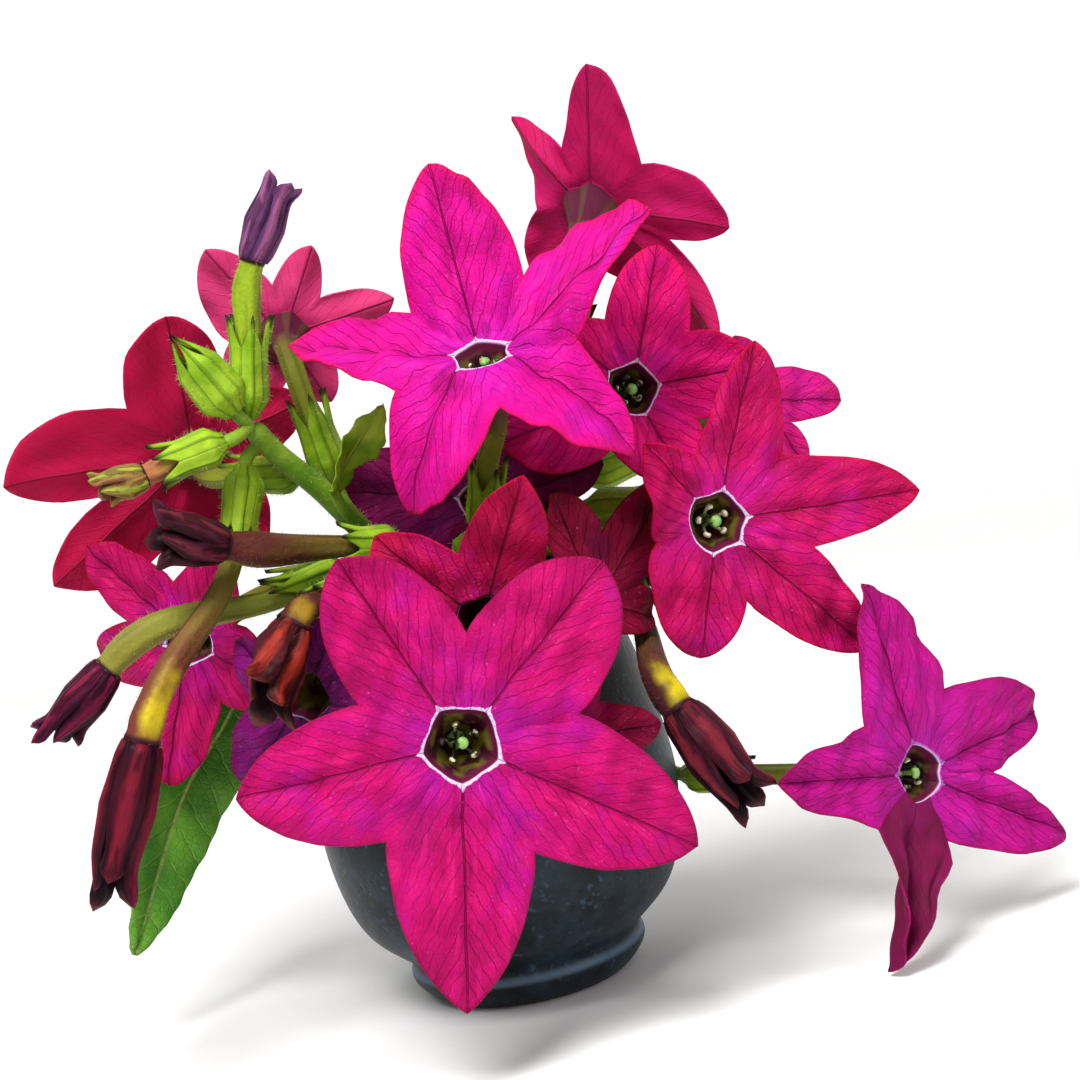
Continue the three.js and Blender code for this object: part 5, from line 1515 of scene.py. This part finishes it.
def bud_finger(skin, look, k, neck, frame_axes, tip, width, flare):
    """One petal folded along its vein"""
    axis, right, up = frame_axes
    t = np.linspace(0.06, 1, 20)
    loop = full_turn(18)
    long = tip * (1 + 0.12 * math.sin(4.8 * k))
    spin = math.radians(72 * k) + HEAD_TWIST * t + 0.22 * np.sin(2.2 * k + 3 * t) * t
    ridge = width * np.interp(t, HEAD_REACH, RIDGE) * (1 + 0.1 * math.sin(3.1 * k))
    ridge = ridge + width * 0.3 * smooth((t - 0.75) / 0.25) * (0.6 + math.sin(1.7 * k + 1))
    ridge = ridge + width * flare * t ** 2 * (1 + math.sin(2.3 * k))
    end = np.sqrt(np.clip((1 - t) / 0.1, 0.0, 1))
    half_wide = ridge * blend_between(0.56, 0.36, smooth((t - 0.45) / 0.5)) * end
    deep = ridge * 0.3 * end
    out = right * np.cos(spin)[:, None] + up * np.sin(spin)[:, None]
    aside = np.cross(axis, out)
    centre = neck + axis * (t * long)[:, None] + out * (ridge - deep * 0.9)[:, None]
    fold = 1 + 0.16 * np.cos(4 * loop) + flare * 0.4 * np.sin(3 * loop + 7 * t[:, None] + k)
    outward = (np.cos(loop) * deep[:, None] * fold)[..., None]
    sideways = (np.sin(loop) * half_wide[:, None] * fold)[..., None]
    rows = centre[:, None] + out[:, None] * outward + aside[:, None] * sideways
    rows = np.concatenate([np.broadcast_to(rows[0, :-1].mean(0), rows[:1].shape), rows])
    side = np.abs((loop / math.pi + 1) % 2 - 1)
    high = np.concatenate([[0], t])[:, None]
    skin.grid(rows, look, (side * 0.02 + 0.5 + k * 0.05, high), (0.5 + side / 2, high))


def bud(name, looks, neck, heading, tip, width, girth, seat, toward, length=CUP_LENGTH, flare=0.1):
    skin = Skin(name)
    neck, axis = np.array(neck, float), unit(np.array(heading, float))
    line = tube_line(neck, -axis, seat, toward, length=length)[::-1]
    frames = carried_frames(line, any_side(line))
    bud_body(skin, looks[0], line, frames, neck, axis, tip, width, girth)
    for k in range(5):
        bud_finger(skin, looks[1], k, neck, (axis, frames[1][-1], frames[2][-1]), tip, width, flare)
    return skin.mesh()


for name, shape in BUDS.items():
    low, high, patch, ridge, body, painted_hollow_shade = (colour(code) for code in BUD_SHADES[name])
    tube_look = bud_tube_finish("bud_tube_" + name, low, high, patch)
    head_look = folded_finish("folded_" + name, ridge, body, painted_hollow_shade)
    own = only(shape, "neck", "heading", "tip", "width", "girth", "seat", "toward", "length", "flare")
    hair_look = HAIR if name in ("upright", "pink", "far_left") else BROWN_HAIR
    mesh = bud(name, (tube_look, head_look), **own)
    place_piece(mesh, "folded_" + name, "bud_" + name, (1.2, 0.7), hair_look)
print("buds:", [name for name in pieces if name.startswith("folded")])

# %% [markdown]
# ## Stamens
# Deep in each open throat five stamens surround the style. One stamen is drawn: a thread and a split
# anther, dark with pale edges. Geometry Nodes turns five copies of it evenly round the throat's axis,
# which is how they grow. The style with its green stigma is added in the middle.

# %% Stamen finish and ring
def paint_anther(tree):
    cloud = tree.noise(own_place(tree), 900.0)
    base = tree.mix(tree.rise(cloud, 0.5, 0.62), colour("2c261c"), colour("e0d8a8"))
    return {"Base Color": base, "Roughness": 0.6, "Normal": bump(tree, cloud, 0.12)}


def paint_cream_anther(tree):
    base = tree.mix(tree.noise(own_place(tree), 900.0), colour("f4ecd0"), colour("a8a070"))
    return {"Base Color": base, "Roughness": 0.6}


def paint_stigma(tree):
    cloud = tree.noise(own_place(tree), 1100.0)
    base = tree.mix(cloud, colour("4f8a3c"), colour("a4cc6c"))
    return {"Base Color": base, "Roughness": 0.35, "Normal": bump(tree, cloud, 0.1)}


ANTHER = finish("anther", paint_anther)
CREAM = finish("cream_anther", paint_cream_anther)
STIGMA = finish("stigma", paint_stigma)


def ring_tree(look):
    tree = Shaper("stamen ring", Count=5, Start=20.0)
    points = tree.node("GeometryNodePoints", None, {"Count": tree.given("Count")})
    index = tree.node("GeometryNodeInputIndex")
    angle = (tree.given("Start") + index * 360.0 / tree.given("Count")) * (math.pi / 180)
    copies = {"Points": points, "Instance": tree.shape, "Rotation": tree.vector(0.0, 0.0, angle)}
    tree.done(tree.node("GeometryNodeInstanceOnPoints", None, copies), look)
    return tree


RINGS = {look.name: ring_tree(look) for look in (ANTHER, CREAM)}
print("stamen rings:", list(RINGS))

# %% [markdown]
# ## Stamens in five throats
# Five blooms show their stamens. In the right one they have shed their dark skin and are cream. The
# ring and the style are made in the throat's own directions, then joined and carried to the bloom.

# %% Stamens
def rounded(skin, centre, size, look, rows=7, columns=10, split=0.0):
    """An egg-shaped body, with a groove along it where split is above nothing"""
    polar = np.linspace(0, math.pi, rows)[:, None]
    turn = full_turn(columns)[None]
    wide = np.sin(polar) * (1 - split * np.exp(-((turn - math.pi) / 0.5) ** 2))
    points = np.stack([wide * np.cos(turn), wide * np.sin(turn), -np.cos(polar) + 0 * turn], -1)
    skin.grid(np.array(centre) + points * np.array(size), look)


def slim_tube(skin, line, radius, sides, look):
    """A thin round thread, drawn to a point at both ends"""
    line = np.array(line, float)
    rows = rings_along(line, carried_frames(line, (0, 1, 0)), full_turn(sides), radius)
    skin.grid(capped(rows, line[0], line[-1]), look)


def stamen(reach, look):
    skin = Skin("stamen")
    slim_tube(skin, [(0.5, 0, -5.7), (reach * 0.7, 0, -4.2), (reach, 0, -2.2)], (0.25, 0.25, 0.2), 6, look)
    rounded(skin, (reach * 0.95, 0, -1.9), (0.45, 0.55, 0.8), look, split=0.45)
    return skin.mesh()


def style(throat):
    """The style and its stigma, on the green base that fills the throat's floor"""
    skin = Skin("style")
    base = throat * 0.4 - 0.6
    slim_tube(skin, [(0, 0, -6.1), (0.1, 0, -3.5), (0.2, 0, -1.2)], (0.4, 0.32, 0.36), 8, STIGMA)
    rounded(skin, (0.2, 0, -0.95), (0.85, 0.85, 0.5), STIGMA, split=0.5)
    rounded(skin, (0, 0, -5.9), (base, base, 0.35), STIGMA)
    return skin.mesh()


for name in ("front", "upper", "right", "far_right", "upper_right"):
    shape = dict(BLOOMS)[name]
    pollen = CREAM if name == "right" else ANTHER
    ring = RINGS[pollen.name].bake(stamen(shape["throat"] * 0.52, pollen), Count=5, Start=20.0)
    joined = bmesh.new()
    for index, part in enumerate((ring, style(shape["throat"]))):
        before = len(joined.faces)
        joined.from_mesh(part)
        joined.faces.ensure_lookup_table()
        for face in joined.faces[before:]:
            face.material_index = index
    axes = bloom_frame(shape["yaw"], shape["pitch"])
    for vertex in joined.verts:
        vertex.co = Vector((np.array(vertex.co) @ axes + np.array(shape["at"]) * MM).tolist())
    mesh = bpy.data.meshes.new("stamens")
    joined.to_mesh(mesh)
    joined.free()
    for look in (pollen, STIGMA):
        mesh.materials.append(look)
    place_piece(mesh, "anthers_" + name, "stamens_" + name)
print("stamens in", [name for name in pieces if name.startswith("anthers")])

# %% [markdown]
# ## The pot
# A thrown pot is a profile turned about its axis, so Geometry Nodes turns one: a grid's columns go
# round, its rows follow a sampled profile, and the seam and the poles are merged. The glaze is a
# slate blue that is nearly black, semi-matt and finely speckled. It is painted paler on the rim, and
# a painted highlight follows the ring of the foot.

# %% Pot
def paint_glaze(tree):
    place = own_place(tree)
    height = tree.node("ShaderNodeSeparateXYZ", None, {0: place}).beside("Z")
    cloud = tree.noise(place, 70.0, 5.0, 0.65)
    speck = tree.noise(place, 700.0, 3.0, 0.6)
    base = tree.mix(tree.rise(cloud, 0.42, 0.64), colour("090d12"), colour("1d2d38"))
    base = tree.mix(tree.rise(speck, 0.58, 0.7) * 0.5, base, colour("42566a"))
    base = tree.mix(tree.rise(speck, 0.4, 0.3) * 0.7, base, colour("0a0e14"))
    # A paler band on the rim, and a painted highlight on the ring of the foot
    thin = tree.rise(tree.size(height - 0.0595), 0.0012, 0.0)
    foot_highlight = tree.rise(tree.size(height - 0.0046), 0.0009, 0.0)
    base = tree.mix(tree.maths("MAXIMUM", thin, foot_highlight) * 0.55, base, colour("7088a0"))
    pits = tree.rise(speck, 0.36, 0.28)
    return {
        "Base Color": base,
        "Roughness": 0.3 + speck * 0.25,
        "Specular IOR Level": 0.2,
        "Normal": bump(tree, speck * 0.7 - pits * 0.4, 0.1),
    }


GLAZE = finish("glaze", paint_glaze)
POT_OUTSIDE = [(16.7, 6), (23, 12.5), (26, 26), (24.2, 40), (22.4, 48), (18.6, 55.5), (17.2, 58.5)]
POT_INSIDE = [(13.8, 56), (18.4, 48), (22, 27), (18, 12), (11, 6.6)]

LATHE_SEAM = 0.002 * MM


def lathe_tree():
    tree = Shaper("turning", Columns=120, Rows=150)
    profile = tree.node("GeometryNodeMeshToCurve", None, {0: tree.shape})
    size = {"Size X": 1.0, "Size Y": 1.0}
    size.update({"Vertices X": tree.given("Columns"), "Vertices Y": tree.given("Rows")})
    sheet = tree.node("GeometryNodeMeshGrid", None, size)
    place = tree.node("ShaderNodeSeparateXYZ", None, {0: tree.node("GeometryNodeInputPosition")})
    sample = {"Curves": profile, "Factor": place.beside("Y") + 0.5}
    how = {"mode": "FACTOR", "use_all_curves": True}
    found = tree.node("GeometryNodeSampleCurve", how, sample, out="Position")
    found = tree.node("ShaderNodeSeparateXYZ", None, {0: found})
    turn = (place + 0.5) * (2 * math.pi)
    x, y = found * tree.maths("COSINE", turn), found * tree.maths("SINE", turn)
    bent = {"Geometry": sheet, "Position": tree.vector(x, y, found.beside("Z"))}
    bent = tree.node("GeometryNodeSetPosition", None, bent)
    merged = tree.node("GeometryNodeMergeByDistance", None, {"Geometry": bent, "Distance": LATHE_SEAM})
    tree.done(merged, GLAZE)
    return tree


def turned(profile, columns, rows):
    wire = wire_mesh("profile", [(r * MM, 0, z * MM) for r, z in profile])
    mesh = lathe_tree().bake(wire, Columns=columns, Rows=rows)
    work = bmesh.new()
    work.from_mesh(mesh)
    bmesh.ops.recalc_face_normals(work, faces=work.faces)
    for face in work.faces:
        face.smooth = True
    work.to_mesh(mesh)
    work.free()
    return mesh


def smooth_profile(points, step=0.7):
    return [(r, z) for r, z, _ in curve_points([(r, z, 0) for r, z in points], step)]


profile = [(0, 0), (13.4, 0), (14.4, 0.3), (15.6, 1.2), (16.9, 2.8), (17.3, 3.9), (17.1, 4.9), (16.6, 5.3)]
profile += smooth_profile(POT_OUTSIDE)
profile += smooth_profile([(17.3, 59.3), (16.4, 60), (15.2, 59.95), (14.3, 59.4), (13.8, 58)], 0.5)
profile += smooth_profile(POT_INSIDE) + [(0, 6)]
pot = place_piece(turned(profile, 120, 170), "glazed_pot", "pot")
print("pot faces:", len(pot.data.polygons))

# %% [markdown]
# ## Compost
# The stems stand in moist compost. Its surface is uneven, and crumbs of bark and peat lie on it. A
# displaced body is turned first, then Geometry Nodes scatters crumbs of random size over its top.

# %% Compost
def paint_compost(tree):
    place = own_place(tree)
    cloud = tree.noise(place, 350.0, 4.0, 0.7)
    base = tree.mix(tree.rise(cloud, 0.35, 0.65), colour("1e140d"), colour("4a3422"))
    base = tree.mix(tree.rise(tree.noise(place, 900.0), 0.66, 0.74), base, colour("8a6c48"))
    return {"Base Color": base, "Roughness": 0.9, "Normal": bump(tree, cloud, 0.6)}


COMPOST = finish("compost", paint_compost)


def crumb_tree():
    tree = Shaper("crumbs", Density=0.9, Seed=4)
    thick = tree.given("Density") * PER_SQUARE_MM * tree.attribute("hairy")
    spread = {"Mesh": tree.shape, "Density": thick, "Seed": tree.given("Seed")}
    points = tree.node("GeometryNodeDistributePointsOnFaces", None, spread)
    crumb = tree.node("GeometryNodeMeshIcoSphere", None, {"Radius": 0.5 * MM, "Subdivisions": 1})
    size = tree.chance((0.4, 0.4, 0.3), (1.3, 1.1, 0.8), 2)
    spin = tree.chance((0.0, 0.0, 0.0), (6.3, 6.3, 6.3), 8)
    scattered = {"Points": points, "Instance": crumb, "Scale": size, "Rotation": spin}
    scattered = tree.node("GeometryNodeInstanceOnPoints", None, scattered)
    real = tree.node("GeometryNodeRealizeInstances", None, {0: scattered})
    tree.done(tree.joined(tree.shape, real), COMPOST)
    return tree


bed = Skin("compost")
side = [(0.0, 6.45), (10.8, 7.1), (17.4, 12.3), (20.6, 27), (17.9, 48.0), (16.6, 51.2)]
side = np.array([(r, z, 0) for r, z in side])
top = np.array([(r, 52 + 0.5 * math.cos(r * 0.8), 0) for r in np.linspace(15.8, 0, 22)])
turn = full_turn(72)
rows = []
for r, z, _ in np.concatenate([side, top]):
    x, y = r * np.cos(turn), r * np.sin(turn)
    rough = 0.45 * np.sin(1.3 * x + 1) * np.cos(1.1 * y) + 0.25 * np.sin(2.9 * x - 1.7 * y)
    rows.append(np.stack([x, y, z + rough * (z > 51.5)], -1))
rows = np.stack(rows)
hair = np.zeros(rows.shape[:2])
hair[len(side) + 1:] = 1
bed.grid(rows, COMPOST, hairy=hair)
place_piece(crumb_tree().bake(bed.mesh(), Density=0.9, Seed=4), "compost_bed", "compost")
print("compost faces:", len(pieces["compost_bed"].data.polygons))
